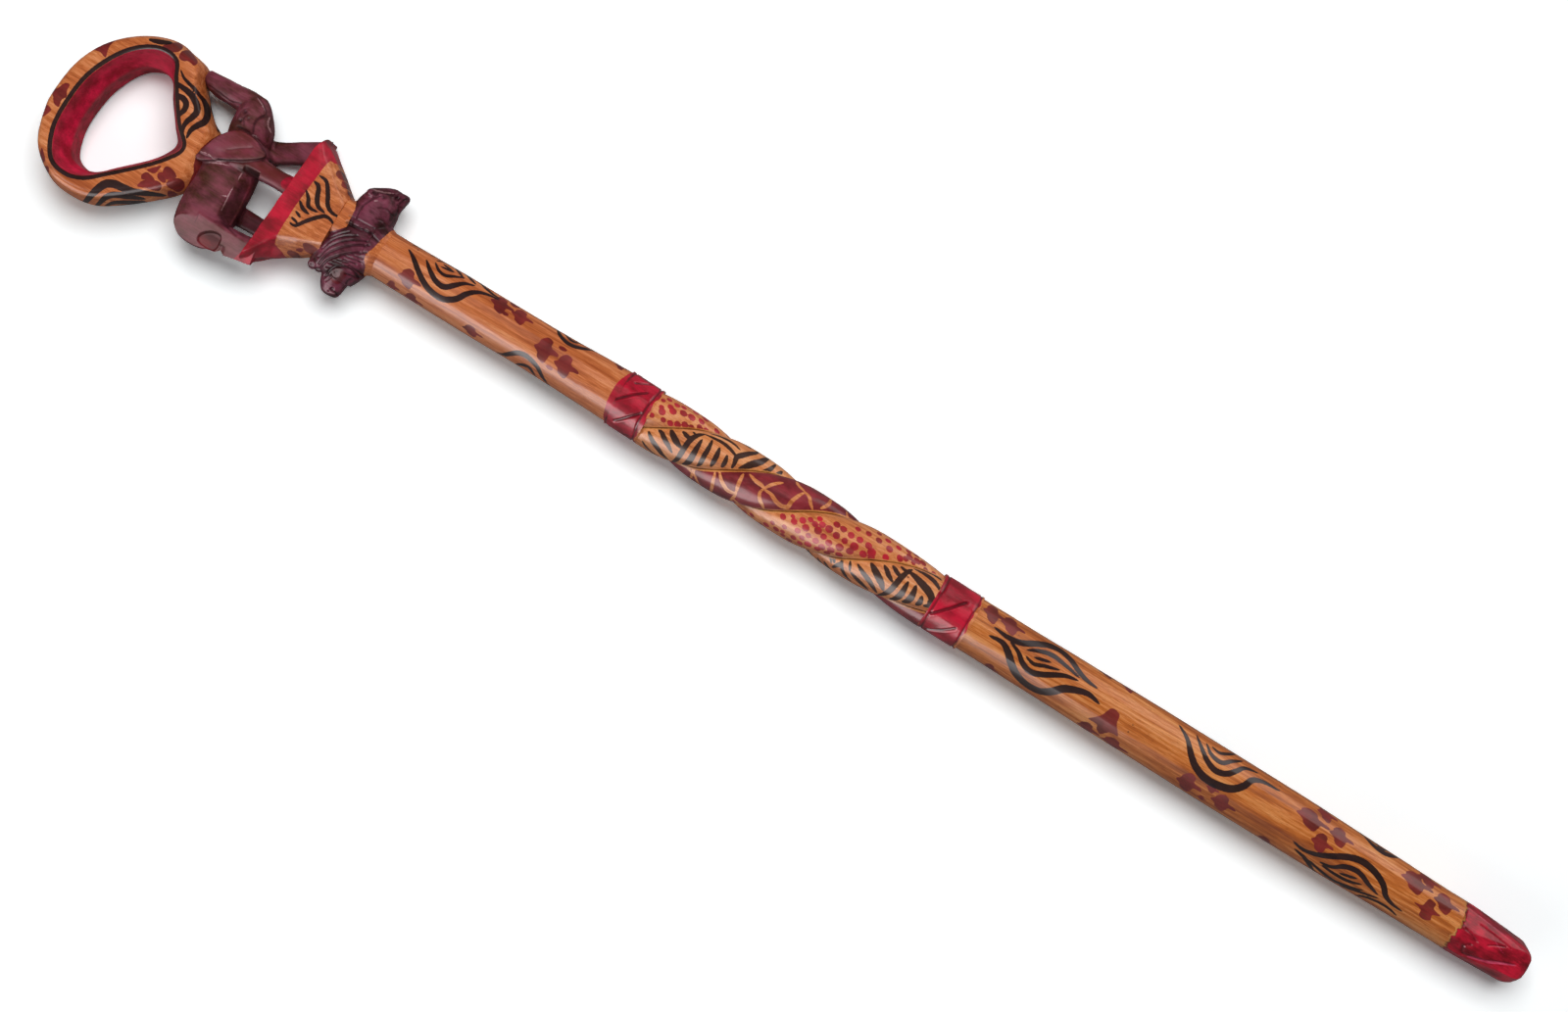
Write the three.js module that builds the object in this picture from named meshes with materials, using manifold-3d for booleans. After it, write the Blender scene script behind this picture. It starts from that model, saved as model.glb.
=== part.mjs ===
// Carved walking cane, cut from one length of wood. A looped grip stands on the back of an elephant,
// the elephant on a plinth, and the plinth on a maned lion's and a lioness's heads, back to back.
// Below them the stick has a faceted shaft, a twist of three strands between two bands, a second
// shaft and a hewn tip. Every solid is one carved form, and each is seated on the next.
// The cane lies on its back: x runs from the top of the grip to the tip, y to the side that the
// elephant faces, and z up. Lengths are in millimetres.
import * as THREE from 'three';
import { mergeVertices } from 'three/addons/utils/BufferGeometryUtils.js';
import Module from 'manifold-3d';

const wasm = await Module();
wasm.setup();

// Lengths of the forms along the stick, in order from the top of the grip
const GRIP_HEIGHT = 87;
const ELEPHANT_HEIGHT = 46;
const PLINTH_TOP_HEIGHT = 12;
const PLINTH_BODY_HEIGHT = 22;
const HEADS_HEIGHT = 24;
const COLLAR_HEIGHT = 5;
const UPPER_SHAFT_LENGTH = 148;
const UPPER_BAND_LENGTH = 20;
const TWIST_LENGTH = 180;
const LOWER_BAND_LENGTH = 24;
const LOWER_SHAFT_LENGTH = 305;
const TIP_LENGTH = 46;

// Grip loop
const GRIP_WIDTH = 101;
const GRIP_DEPTH = 30;
const GRIP_BULGE = 3.4;
const GRIP_EDGE = 1.2;
const OPENING_RIDGE_HEIGHT = 1;

// Elephant
const BODY_LENGTH = 68;
const BODY_HEIGHT = 33;
const BODY_DEPTH = 28;
const BODY_RISE = 1.5;
const RUMP_OFFSET = 41.5;
const HEAD_LENGTH = 30;
const HEAD_OVERLAP = 10;
const HEAD_DROP = 2;
const HEAD_HEIGHT = 25;
const HEAD_DEPTH = 24;
const TRUNK_LENGTH = 36;
const TRUNK_WIDTH = 14;
const TRUNK_DEPTH = 15;
const EAR_WIDTH = 24;
const EAR_HEIGHT = 33;
const EAR_PROUD = 2.4;
const LEG_LENGTH = 30;
const LEG_WIDTH = 12;
const LEG_DEPTH = 11;
const LEG_SPREAD = 9;
const FORELEG_AT = 12.5;
const FORELEG_STRIDE = 8;
const HIND_LEG_AT = -32;
const HIND_LEG_STRIDE = 17;

// Plinth
const PLINTH_WIDTH = 79;
const PLINTH_SHOULDER_WIDTH = 67;
const PLINTH_NECK_WIDTH = 35;
const PLINTH_DEPTH = 33;
const PLINTH_NECK_DEPTH = 27;
const PLINTH_AXIS = 5;
const PLINTH_SHOULDER_AXIS = 7.6;
const PLINTH_TOP_CORNER = 2;
const PLINTH_RUMP_CORNER = 12;
const PLINTH_CHIN_CORNER = 6;
const PLINTH_SLOPE = 6;

// Heads, which meet back to back at the dividing line
const HEADS_DIVIDE = 10.8;
const MANE_LENGTH = 28;
const MANE_HEIGHT = 30;
const MANE_DEPTH = 31;
const MANE_RISE = 3;
const LION_FACE_LENGTH = 20;
const LION_FACE_HEIGHT = 18;
const LION_FACE_DEPTH = 20;
const FACE_DROP = 3;
const LIONESS_LENGTH = 30;
const LIONESS_HEIGHT = 26;
const LIONESS_DEPTH = 29;
const JAW_LENGTH = 14;
const JAW_HEIGHT = 8;
const JAW_DEPTH = 15;
const JAW_DROP = 2;
const FELINE_EAR_LENGTH = 5;
const FELINE_EAR_WIDTH = 8;

// Stick
const COLLAR_WIDTH = 31;
const NECK_WIDTH = 27;
const WAIST_WIDTH = 28.2;
const UPPER_SHAFT_WIDTH = 30.6;
const BAND_WIDTH = 32.4;
const TWIST_WIDTH = 32.2;
const LOWER_SHAFT_WIDTH = 32.2;
const ANKLE_WIDTH = 28.8;
const TIP_WIDTH = 24.4;
const TIP_FACE_WIDTH = 15;
const TIP_TURN = 70;
const TIP_SIDES = 7;
const TIP_ROUNDING = 7;
const STICK_SIDES = 8;
const GROOVE_DEPTH = 0.8;
const GROOVE_WIDTH = 2.4;
const GROOVE_MARGIN = 1.2;
const STRAND_GROOVE_DEPTH = 3.6;
const TWIST_LEAD = 129;
const TWIST_EASE_LENGTH = 42;
const TWIST_LAG_DEGREES = 30;
const TWIST_EASE_POWER = 1.5;

// Sideways wander of the stick's axis, at the upper band, at the lower band and at the tip
const NECK_AXIS = 7.1;
const UPPER_AXIS = 6.3;
const LOWER_BAND_AXIS = -0.9;
const TIP_AXIS = -7.2;

const CLEARANCE = 0.3;

// Shape controls without a length
const SECTION_STEPS = 20;
const LOFT_STEPS = 12;
const SHAFT_STEPS = 8;
const TIP_STEPS = 14;
const TWIST_STEPS = 40;
const LOBE_STEPS = 8;
const LOOP_STEPS = 72;
const FACET_SHARE = 0.55;
const EAR_FACE_SHARE = 0.86;
const FLESH_POWER = 2.4;
const BLOCK_POWER = 3;

// Stations along the stick
const BACK_X = GRIP_HEIGHT;
const PLINTH_X = BACK_X + ELEPHANT_HEIGHT;
const PLINTH_BODY_X = PLINTH_X + PLINTH_TOP_HEIGHT;
const HEADS_X = PLINTH_BODY_X + PLINTH_BODY_HEIGHT;
const COLLAR_X = HEADS_X + HEADS_HEIGHT;
const UPPER_SHAFT_X = COLLAR_X + COLLAR_HEIGHT;
const UPPER_BAND_X = UPPER_SHAFT_X + UPPER_SHAFT_LENGTH;
const TWIST_X = UPPER_BAND_X + UPPER_BAND_LENGTH;
const LOWER_BAND_X = TWIST_X + TWIST_LENGTH;
const LOWER_SHAFT_X = LOWER_BAND_X + LOWER_BAND_LENGTH;
const TIP_X = LOWER_SHAFT_X + LOWER_SHAFT_LENGTH;
const END_X = TIP_X + TIP_LENGTH;

// Finishes: bare lacquered wood and the three paints
const tan = { color: 0xc98044, roughness: 0.35, metalness: 0 };
const maroon = { color: 0x642a32, roughness: 0.35, metalness: 0 };
const crimson = { color: 0xa81638, roughness: 0.35, metalness: 0 };
const dotted = { color: 0xb0683c, roughness: 0.35, metalness: 0 };
const striped = { color: 0x4b3a34, roughness: 0.35, metalness: 0 };
const blotched = { color: 0x8a4a34, roughness: 0.35, metalness: 0 };

const group = new THREE.Group();

function addPiece(name, finish, geometry) {
  geometry.computeVertexNormals();
  const mesh = new THREE.Mesh(geometry, new THREE.MeshStandardMaterial(finish));
  mesh.name = name;
  group.add(mesh);
}

// Closed geometry from corner points and triangles, turned so that its faces point out
function closedGeometry(points, triangles) {
  let volume = 0;
  for (const [a, b, c] of triangles) {
    volume += points[a].dot(new THREE.Vector3().crossVectors(points[b], points[c]));
  }
  const index = triangles.flatMap(([a, b, c]) => (volume < 0 ? [a, c, b] : [a, b, c]));
  const geometry = new THREE.BufferGeometry().setFromPoints(points);
  geometry.setIndex(index);
  return geometry;
}

function toSolid(geometry) {
  const bare = geometry.clone();
  bare.deleteAttribute('normal');
  bare.deleteAttribute('uv');
  const merged = mergeVertices(bare);
  const vertProperties = new Float32Array(merged.attributes.position.array);
  const triVerts = new Uint32Array(merged.index.array);
  return new wasm.Manifold(new wasm.Mesh({ numProp: 3, vertProperties, triVerts }));
}

function toGeometry(solid) {
  const mesh = solid.getMesh();
  const geometry = new THREE.BufferGeometry();
  geometry.setAttribute('position', new THREE.BufferAttribute(mesh.vertProperties, 3));
  geometry.setIndex(new THREE.BufferAttribute(mesh.triVerts, 1));
  return geometry;
}

// What is left of a solid after its neighbours are cut away, without loose chips
function carve(solid, neighbours) {
  const left = neighbours.reduce((whole, cutter) => whole.subtract(cutter), solid);
  const pieces = left.decompose();
  const largest = pieces.reduce((a, b) => (a.volume() > b.volume() ? a : b));
  return toGeometry(largest);
}

// Skin over a run of closed outlines with as many points each, capped at both ends
function loft(outlines) {
  const points = outlines.flat();
  const triangles = [];
  const count = outlines[0].length;
  for (let row = 0; row + 1 < outlines.length; row += 1) {
    for (let i = 0; i < count; i += 1) {
      const a = row * count + i;
      const b = row * count + (i + 1) % count;
      triangles.push([a, b, b + count], [a, b + count, a + count]);
    }
  }
  const last = (outlines.length - 1) * count;
  const start = points.length;
  points.push(middle(outlines[0]), middle(outlines.at(-1)));
  for (let i = 0; i < count; i += 1) {
    const next = (i + 1) % count;
    triangles.push([start, next, i], [start + 1, last + i, last + next]);
  }
  return closedGeometry(points, triangles);
}

function middle(outline) {
  const sum = outline.reduce((total, point) => total.add(point), new THREE.Vector3());
  return sum.divideScalar(outline.length);
}

// Rows of a table, with smooth rows worked out between them
function smoothRows(rows, steps) {
  const last = rows.length - 1;
  return Array.from({ length: steps + 1 }, (_, step) => {
    const place = last * step / steps;
    const at = Math.min(Math.floor(place), last - 1);
    const before = rows[Math.max(at - 1, 0)];
    const after = rows[Math.min(at + 2, last)];
    return rows[at].map((value, column) => cubic(
      before[column], value, rows[at + 1][column], after[column], place - at,
    ));
  });
}

function cubic(p0, p1, p2, p3, t) {
  const slopeIn = (p2 - p0) / 2;
  const slopeOut = (p3 - p1) / 2;
  const bend = 3 * (p2 - p1) - 2 * slopeIn - slopeOut;
  const rest = slopeIn + slopeOut - 2 * (p2 - p1);
  return p1 + t * (slopeIn + t * (bend + t * rest));
}

// Point on the rim of a unit oval that is squared off more as its power rises
function ovalPoint(angle, power) {
  const bulge = (value) => Math.sign(value) * Math.abs(value) ** (2 / power);
  return [bulge(Math.cos(angle)), bulge(Math.sin(angle))];
}

function ovalRim(power, place) {
  return Array.from({ length: SECTION_STEPS }, (_, i) => {
    const [u, v] = ovalPoint(2 * Math.PI * i / SECTION_STEPS, power);
    return place(u, v);
  });
}

// Figure lofted sideways, from rows of shares of its length, height and depth:
// place along y, top, bottom and half depth
function sidewaysFigure({ from, top, length, height, depth, shares, power }, grow = 0) {
  const rows = smoothRows(shares, LOFT_STEPS);
  return toSolid(loft(rows.map(([along, upper, lower, half], row) => {
    const end = (row === 0 ? -1 : 0) + (row === LOFT_STEPS ? 1 : 0);
    const y = from + length * along + Math.sign(length) * end * grow;
    const centre = top + height * (upper + lower) / 2;
    const halfHeight = height * (lower - upper) / 2 + grow;
    const halfDepth = depth * half + grow;
    return ovalRim(power, (u, v) => new THREE.Vector3(centre + u * halfHeight, y, v * halfDepth));
  })));
}

// Limb lofted along the stick, from rows of shares of its length and width:
// place along x, sideways shift, half width and half depth
function standingLimb({ from, at, aside, length, width, depth, shares, power }, grow = 0) {
  const rows = smoothRows(shares, LOFT_STEPS);
  return toSolid(loft(rows.map(([along, shift, halfY, halfZ], row) => {
    const end = (row === 0 ? -1 : 0) + (row === LOFT_STEPS ? 1 : 0);
    const x = from + length * along + Math.sign(length) * end * grow;
    const y = at + width * shift;
    return ovalRim(power, (u, v) => new THREE.Vector3(
      x,
      y + u * (width * halfY + grow),
      aside + v * (depth * halfZ + grow),
    ));
  })));
}

// Elephant: barrel, head with its trunk, two ears and four legs
const bodyShares = [
  [0, 0.43, 0.60, 0.08],
  [0.02, 0.29, 0.77, 0.27],
  [0.08, 0.15, 0.92, 0.39],
  [0.17, 0.08, 0.99, 0.46],
  [0.32, 0.05, 1, 0.5],
  [0.49, 0.05, 0.99, 0.5],
  [0.66, 0, 0.97, 0.485],
  [0.81, 0.06, 0.91, 0.43],
  [0.93, 0.17, 0.83, 0.35],
  [1, 0.26, 0.75, 0.28],
];
const headShares = [
  [0, 0.12, 0.88, 0.3],
  [0.18, 0.03, 0.97, 0.42],
  [0.38, 0, 0.96, 0.49],
  [0.58, 0, 0.87, 0.5],
  [0.78, 0.03, 0.69, 0.43],
  [0.93, 0.12, 0.53, 0.3],
  [1, 0.24, 0.42, 0.12],
];
const trunkShares = [
  [0, 0, 0.56, 0.52],
  [0.25, 0.02, 0.5, 0.5],
  [0.5, 0.02, 0.45, 0.47],
  [0.75, 0, 0.43, 0.43],
  [0.93, 0.05, 0.34, 0.39],
  [1, 0.09, 0.27, 0.33],
];
const earShares = [
  [0.08, 0], [0.36, -0.01], [0.68, 0.07], [0.92, 0.2], [1, 0.42], [0.96, 0.68],
  [0.84, 0.88], [0.7, 1], [0.56, 0.9], [0.36, 0.66], [0.12, 0.38], [0, 0.14],
];
const foreLegShares = [
  [0, 0, 0.62, 0.55],
  [0.35, 0, 0.5, 0.5],
  [0.7, 0, 0.44, 0.47],
  [0.9, 0, 0.46, 0.5],
  [1, 0, 0.5, 0.52],
];
const strideLegShares = [
  [0, 0, 0.62, 0.55],
  [0.3, 0.22, 0.6, 0.5],
  [0.6, 0.75, 0.6, 0.48],
  [0.85, 1.18, 0.62, 0.5],
  [1, 1.44, 0.64, 0.52],
];
const hindLegShares = [
  [0, 0.16, 0.66, 0.55],
  [0.3, 0.12, 0.68, 0.52],
  [0.55, 0.18, 0.66, 0.48],
  [0.8, 0.28, 0.62, 0.46],
  [1, 0.36, 0.6, 0.48],
];

const bodyForm = {
  from: -RUMP_OFFSET, top: BACK_X - BODY_RISE, length: BODY_LENGTH, height: BODY_HEIGHT,
  depth: BODY_DEPTH, shares: bodyShares, power: FLESH_POWER,
};
const headFrom = BODY_LENGTH - RUMP_OFFSET - HEAD_OVERLAP;
const headForm = {
  from: headFrom, top: BACK_X + HEAD_DROP, length: HEAD_LENGTH, height: HEAD_HEIGHT,
  depth: HEAD_DEPTH, shares: headShares, power: FLESH_POWER,
};
const trunkForm = {
  from: BACK_X + HEAD_DROP + HEAD_HEIGHT / 2, at: headFrom + HEAD_LENGTH - TRUNK_WIDTH / 2,
  aside: 0, length: -TRUNK_LENGTH, width: TRUNK_WIDTH, depth: TRUNK_DEPTH,
  shares: trunkShares, power: FLESH_POWER,
};

// A leg reaches from inside the barrel down past the top of the plinth, where the plinth trims it
function legForm(at, side, shares) {
  return {
    from: PLINTH_X - LEG_LENGTH, at, aside: side * LEG_SPREAD, length: LEG_LENGTH + PLINTH_SLOPE,
    width: LEG_WIDTH, depth: LEG_DEPTH, shares, power: BLOCK_POWER,
  };
}

const legForms = {
  elephant_foreleg_near: legForm(FORELEG_AT, 1, foreLegShares),
  elephant_foreleg_far: legForm(FORELEG_AT + FORELEG_STRIDE, -1, strideLegShares),
  elephant_hind_leg_near: legForm(HIND_LEG_AT, 1, hindLegShares),
  elephant_hind_leg_far: legForm(HIND_LEG_AT + HIND_LEG_STRIDE, -1, foreLegShares),
};

// An ear is the part of an upright slab that stands out past the flank and the cheek
function earSlab(side, grow = 0) {
  const left = FORELEG_AT - EAR_WIDTH / 2;
  const outline = earShares.map(([across, along]) => new THREE.Vector2(
    BACK_X - BODY_RISE + EAR_HEIGHT * along,
    left + EAR_WIDTH * across,
  ));
  const rim = new THREE.CatmullRomCurve3(
    outline.map((point) => new THREE.Vector3(point.x, point.y, 0)), true, 'centripetal',
  ).getPoints(SECTION_STEPS).slice(0, -1);
  const hub = middle(rim);
  const outer = BODY_DEPTH / 2 + EAR_PROUD;
  const rounded = outer - EAR_PROUD / 2;
  const spread = (point, share, depth) => {
    const out = new THREE.Vector3().subVectors(point, hub);
    const reach = out.length();
    return out.multiplyScalar(share + grow / reach).add(hub).setZ(side * depth);
  };
  const layers = [
    [1, 0],
    [1, rounded + grow],
    [EAR_FACE_SHARE, outer + grow],
  ];
  return toSolid(loft(layers.map(([share, depth]) => rim.map((point) => spread(point, share, depth)))));
}

// Plinth: a tapering block with its corners planed off, its top sloping down under the elephant's chin
function plinthRim({ x, axis, width, depth, rumpCorner, chinCorner, slope = 0 }, grow) {
  const halfY = width / 2 + grow;
  const halfZ = depth / 2 + grow;
  const corners = [
    [halfY, halfZ - chinCorner], [halfY - chinCorner, halfZ],
    [rumpCorner - halfY, halfZ], [-halfY, halfZ - rumpCorner],
    [-halfY, rumpCorner - halfZ], [rumpCorner - halfY, -halfZ],
    [halfY - chinCorner, -halfZ], [halfY, chinCorner - halfZ],
  ];
  return corners.map(([across, z]) => new THREE.Vector3(
    x + slope * (0.5 + across / width),
    axis + across,
    z,
  ));
}

const plinthTopRim = {
  x: PLINTH_X, axis: PLINTH_AXIS, width: PLINTH_WIDTH, depth: PLINTH_DEPTH,
  rumpCorner: PLINTH_TOP_CORNER, chinCorner: PLINTH_TOP_CORNER, slope: PLINTH_SLOPE,
};
const plinthShoulderRim = {
  x: PLINTH_BODY_X, axis: PLINTH_SHOULDER_AXIS, width: PLINTH_SHOULDER_WIDTH, depth: PLINTH_DEPTH,
  rumpCorner: PLINTH_RUMP_CORNER, chinCorner: PLINTH_CHIN_CORNER,
};
const plinthNeckRim = {
  x: HEADS_X, axis: UPPER_AXIS, width: PLINTH_NECK_WIDTH, depth: PLINTH_NECK_DEPTH,
  rumpCorner: PLINTH_RUMP_CORNER * PLINTH_NECK_WIDTH / PLINTH_SHOULDER_WIDTH,
  chinCorner: PLINTH_CHIN_CORNER,
};

function plinthTop() {
  return loft([plinthRim(plinthTopRim, 0), plinthRim(plinthShoulderRim, 0)]);
}

function plinthBody(grow = 0) {
  return loft([
    plinthRim(plinthShoulderRim, grow),
    plinthRim({ ...plinthNeckRim, x: plinthNeckRim.x + grow }, grow),
  ]);
}

// Everything below the plinth's sloping top, out past its edges, which trims the feet
function groundBlock() {
  const top = plinthRim(plinthTopRim, PLINTH_WIDTH / 2);
  const lift = new THREE.Vector3(-CLEARANCE, 0, 0);
  const drop = new THREE.Vector3(PLINTH_TOP_HEIGHT, 0, 0);
  return loft([top.map((point) => point.clone().add(lift)), top.map((point) => point.clone().add(drop))]);
}

// Heads of a maned lion and a lioness: mane and face, skull and jaw, each with its ears
const maneShares = [
  [0, 0.12, 0.95, 0.45],
  [0.3, 0.06, 1, 0.5],
  [0.65, 0, 0.98, 0.49],
  [0.88, -0.03, 0.9, 0.43],
  [1, 0.02, 0.84, 0.35],
];
const lionFaceShares = [
  [0, 0.02, 1, 0.5],
  [0.38, 0.05, 0.98, 0.48],
  [0.63, 0.17, 0.96, 0.43],
  [0.84, 0.28, 0.93, 0.37],
  [0.96, 0.38, 0.85, 0.28],
  [1, 0.5, 0.75, 0.14],
];
const lionessShares = [
  [0, 0.1, 0.96, 0.47],
  [0.18, 0.08, 1, 0.5],
  [0.4, 0.08, 0.99, 0.48],
  [0.6, 0.12, 0.96, 0.43],
  [0.77, 0.2, 0.9, 0.38],
  [0.87, 0.35, 0.86, 0.32],
  [0.96, 0.55, 0.84, 0.25],
  [1, 0.66, 0.78, 0.13],
];
const jawShares = [
  [0, -0.3, 0.8, 0.5],
  [0.5, 0.05, 0.9, 0.47],
  [0.85, 0.2, 1, 0.4],
  [1, 0.4, 0.85, 0.2],
];

const headsTop = HEADS_X - CLEARANCE;
const maneForm = {
  from: HEADS_DIVIDE - CLEARANCE / 2, top: headsTop - MANE_RISE, length: -MANE_LENGTH,
  height: MANE_HEIGHT, depth: MANE_DEPTH, shares: maneShares, power: FLESH_POWER,
};
const lionFaceForm = {
  from: HEADS_DIVIDE - MANE_LENGTH + LION_FACE_LENGTH / 2, top: headsTop + FACE_DROP,
  length: -LION_FACE_LENGTH, height: LION_FACE_HEIGHT, depth: LION_FACE_DEPTH,
  shares: lionFaceShares, power: FLESH_POWER,
};
const lionessForm = {
  from: HEADS_DIVIDE + CLEARANCE / 2, top: headsTop, length: LIONESS_LENGTH,
  height: LIONESS_HEIGHT, depth: LIONESS_DEPTH, shares: lionessShares, power: FLESH_POWER,
};
const jawForm = {
  from: HEADS_DIVIDE + LIONESS_LENGTH - JAW_LENGTH, top: COLLAR_X - JAW_HEIGHT + JAW_DROP,
  length: JAW_LENGTH, height: JAW_HEIGHT, depth: JAW_DEPTH, shares: jawShares, power: FLESH_POWER,
};

function withEars(solid, x, y, depth) {
  const ear = new THREE.SphereGeometry(FELINE_EAR_LENGTH / 2, 2 * LOBE_STEPS, LOBE_STEPS);
  ear.scale(1, 1, FELINE_EAR_WIDTH / FELINE_EAR_LENGTH);
  const places = [1, -1].map((side) => side * (depth - FELINE_EAR_WIDTH) / 2);
  return places.reduce((head, z) => head.add(toSolid(ear.clone().translate(x, y, z))), solid);
}

// Grip: a loop with a broad arched top and a V below, as shares of the grip's width and height,
// across from the point of the V and down from the top
const gripOuterShares = [
  [-0.1, 0], [0.12, 0.034], [0.295, 0.14], [0.43, 0.323], [0.483, 0.498], [0.47, 0.602],
  [0.436, 0.735], [0.35, 0.785], [0.22, 0.92], [0.15, 1.03], [-0.1, 1.05], [-0.215, 0.97],
  [-0.35, 0.78], [-0.49, 0.555], [-0.516, 0.45], [-0.5, 0.277], [-0.38, 0.091], [-0.18, 0.008],
];
const openingFrontShares = [
  [-0.1, 0.155], [0.1, 0.189], [0.3, 0.319], [0.385, 0.464], [0.38, 0.575], [0.3, 0.631],
  [0.1, 0.79], [0.01, 0.885], [-0.08, 0.83], [-0.3, 0.575], [-0.39, 0.45], [-0.412, 0.35],
  [-0.387, 0.25], [-0.26, 0.17],
];
const openingRidgeShares = [
  [-0.1, 0.22], [0.1, 0.261], [0.257, 0.367], [0.302, 0.473], [0.287, 0.575], [0.2, 0.642],
  [0.08, 0.744], [0.01, 0.802], [-0.08, 0.763], [-0.257, 0.565], [-0.342, 0.454], [-0.356, 0.363],
  [-0.327, 0.28], [-0.22, 0.23],
];
const gripHubShares = [-0.03, 0.45];
// Depths across the outer side, from front to back, in half depths of the loop
const gripSideShares = [0.94, 0.55, 0, -0.55, -0.94];

function gripOutline(shares, steps) {
  const points = shares.map(([across, along]) => new THREE.Vector3(
    GRIP_HEIGHT * along, GRIP_WIDTH * across, 0,
  ));
  return new THREE.CatmullRomCurve3(points, true, 'centripetal').getSpacedPoints(steps).slice(0, -1);
}

// Where a ray from the hub towards a direction leaves a closed outline
function rimPoint(outline, hub, direction) {
  const side = (point) => direction.x * (point.y - hub.y) - direction.y * (point.x - hub.x);
  for (let i = 0; i < outline.length; i += 1) {
    const from = outline[i];
    const to = outline[(i + 1) % outline.length];
    const share = side(from) / (side(from) - side(to));
    const hit = new THREE.Vector3().lerpVectors(from, to, share);
    const ahead = hit.clone().sub(hub).dot(direction) > 0;
    if (side(from) * side(to) <= 0 && ahead) {
      return hit;
    }
  }
  return hub;
}

function gripLoop() {
  const hub = new THREE.Vector3(GRIP_HEIGHT * gripHubShares[1], GRIP_WIDTH * gripHubShares[0], 0);
  const outer = gripOutline(gripOuterShares, LOOP_STEPS);
  const front = gripOutline(openingFrontShares, LOOP_STEPS);
  const ridge = gripOutline(openingRidgeShares, LOOP_STEPS);
  const half = GRIP_DEPTH / 2;
  const points = outer.flatMap((rim) => {
    const direction = rim.clone().sub(hub).normalize();
    const inset = (by) => rim.clone().addScaledVector(direction, -by);
    const mouth = rimPoint(front, hub, direction);
    const wall = rimPoint(ridge, hub, direction);
    return [
      inset(GRIP_BULGE + GRIP_EDGE).setZ(half),
      ...gripSideShares.map((share) => inset(GRIP_BULGE * share * share).setZ(half * share)),
      inset(GRIP_BULGE + GRIP_EDGE).setZ(-half),
      wall.clone().setZ(-half), wall.clone().setZ(OPENING_RIDGE_HEIGHT), mouth.clone().setZ(half),
    ];
  });
  const count = points.length / LOOP_STEPS;
  const triangles = [];
  for (let step = 0; step < LOOP_STEPS; step += 1) {
    for (let i = 0; i < count; i += 1) {
      const a = step * count + i;
      const b = step * count + (i + 1) % count;
      const across = ((step + 1) % LOOP_STEPS - step) * count;
      triangles.push([a, b, b + across], [a, b + across, a + across]);
    }
  }
  return closedGeometry(points, triangles);
}

// Axis of the stick, which wanders sideways from band to band
function axisAt(x) {
  if (x <= UPPER_BAND_X) {
    return THREE.MathUtils.mapLinear(x, COLLAR_X, UPPER_BAND_X, NECK_AXIS, UPPER_AXIS);
  }
  if (x <= LOWER_BAND_X) {
    return THREE.MathUtils.mapLinear(x, UPPER_BAND_X, LOWER_BAND_X, UPPER_AXIS, LOWER_BAND_AXIS);
  }
  return THREE.MathUtils.mapLinear(x, LOWER_BAND_X, END_X, LOWER_BAND_AXIS, TIP_AXIS);
}

// Reach of a many-sided section with softened corners, one side flat towards angle zero
function facetReach(angle, sides, share) {
  const step = 2 * Math.PI / sides;
  const turned = angle - step * Math.round(angle / step);
  const facet = 1 / Math.cos(turned);
  const mean = (1 + 1 / Math.cos(step / 2)) / 2;
  return share * facet / mean + 1 - share;
}

function stickRim(x, width, sides = STICK_SIDES, share = FACET_SHARE, turn = 0) {
  return Array.from({ length: SECTION_STEPS }, (_, i) => {
    const angle = 2 * Math.PI * i / SECTION_STEPS;
    const reach = width / 2 * facetReach(angle - turn, sides, share);
    return new THREE.Vector3(x, axisAt(x) + reach * Math.cos(angle), reach * Math.sin(angle));
  });
}

// A length of stick whose width changes smoothly, from shares of its length and widths in millimetres
function stickLength(x, length, widths, grow = 0) {
  const rows = smoothRows(widths, SHAFT_STEPS);
  return loft(rows.map(([along, width]) => stickRim(x + length * along, width + 2 * grow)));
}

// A painted band, proud of the stick, with a groove cut round it near each end
function band(x, length) {
  const half = GROOVE_WIDTH / 2;
  const groove = (place) => [
    [place - half, BAND_WIDTH], [place, BAND_WIDTH - 2 * GROOVE_DEPTH], [place + half, BAND_WIDTH],
  ];
  const rows = [
    [0, BAND_WIDTH], ...groove(GROOVE_MARGIN + half), ...groove(length - GROOVE_MARGIN - half),
    [length, BAND_WIDTH],
  ];
  return loft(rows.map(([along, width]) => stickRim(x + along, width)));
}

// Twist: three strands of unequal width round one axis, parted by deep grooves that wind left-handed.
// Each strand is a wedge that runs out from the axis to a rounded lobe.
const strandShares = { leopard: 0.366, zebra: 0.32, giraffe: 0.314 };
const TWIST_START_SHARE = -0.087;

// The winding slackens over the last stretch before the lower band
function turnAt(x) {
  const eased = Math.max(0, x - LOWER_BAND_X + TWIST_EASE_LENGTH) / TWIST_EASE_LENGTH;
  const lag = THREE.MathUtils.degToRad(TWIST_LAG_DEGREES) * eased ** TWIST_EASE_POWER;
  return 2 * Math.PI * (x - TWIST_X) / TWIST_LEAD - lag;
}

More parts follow.
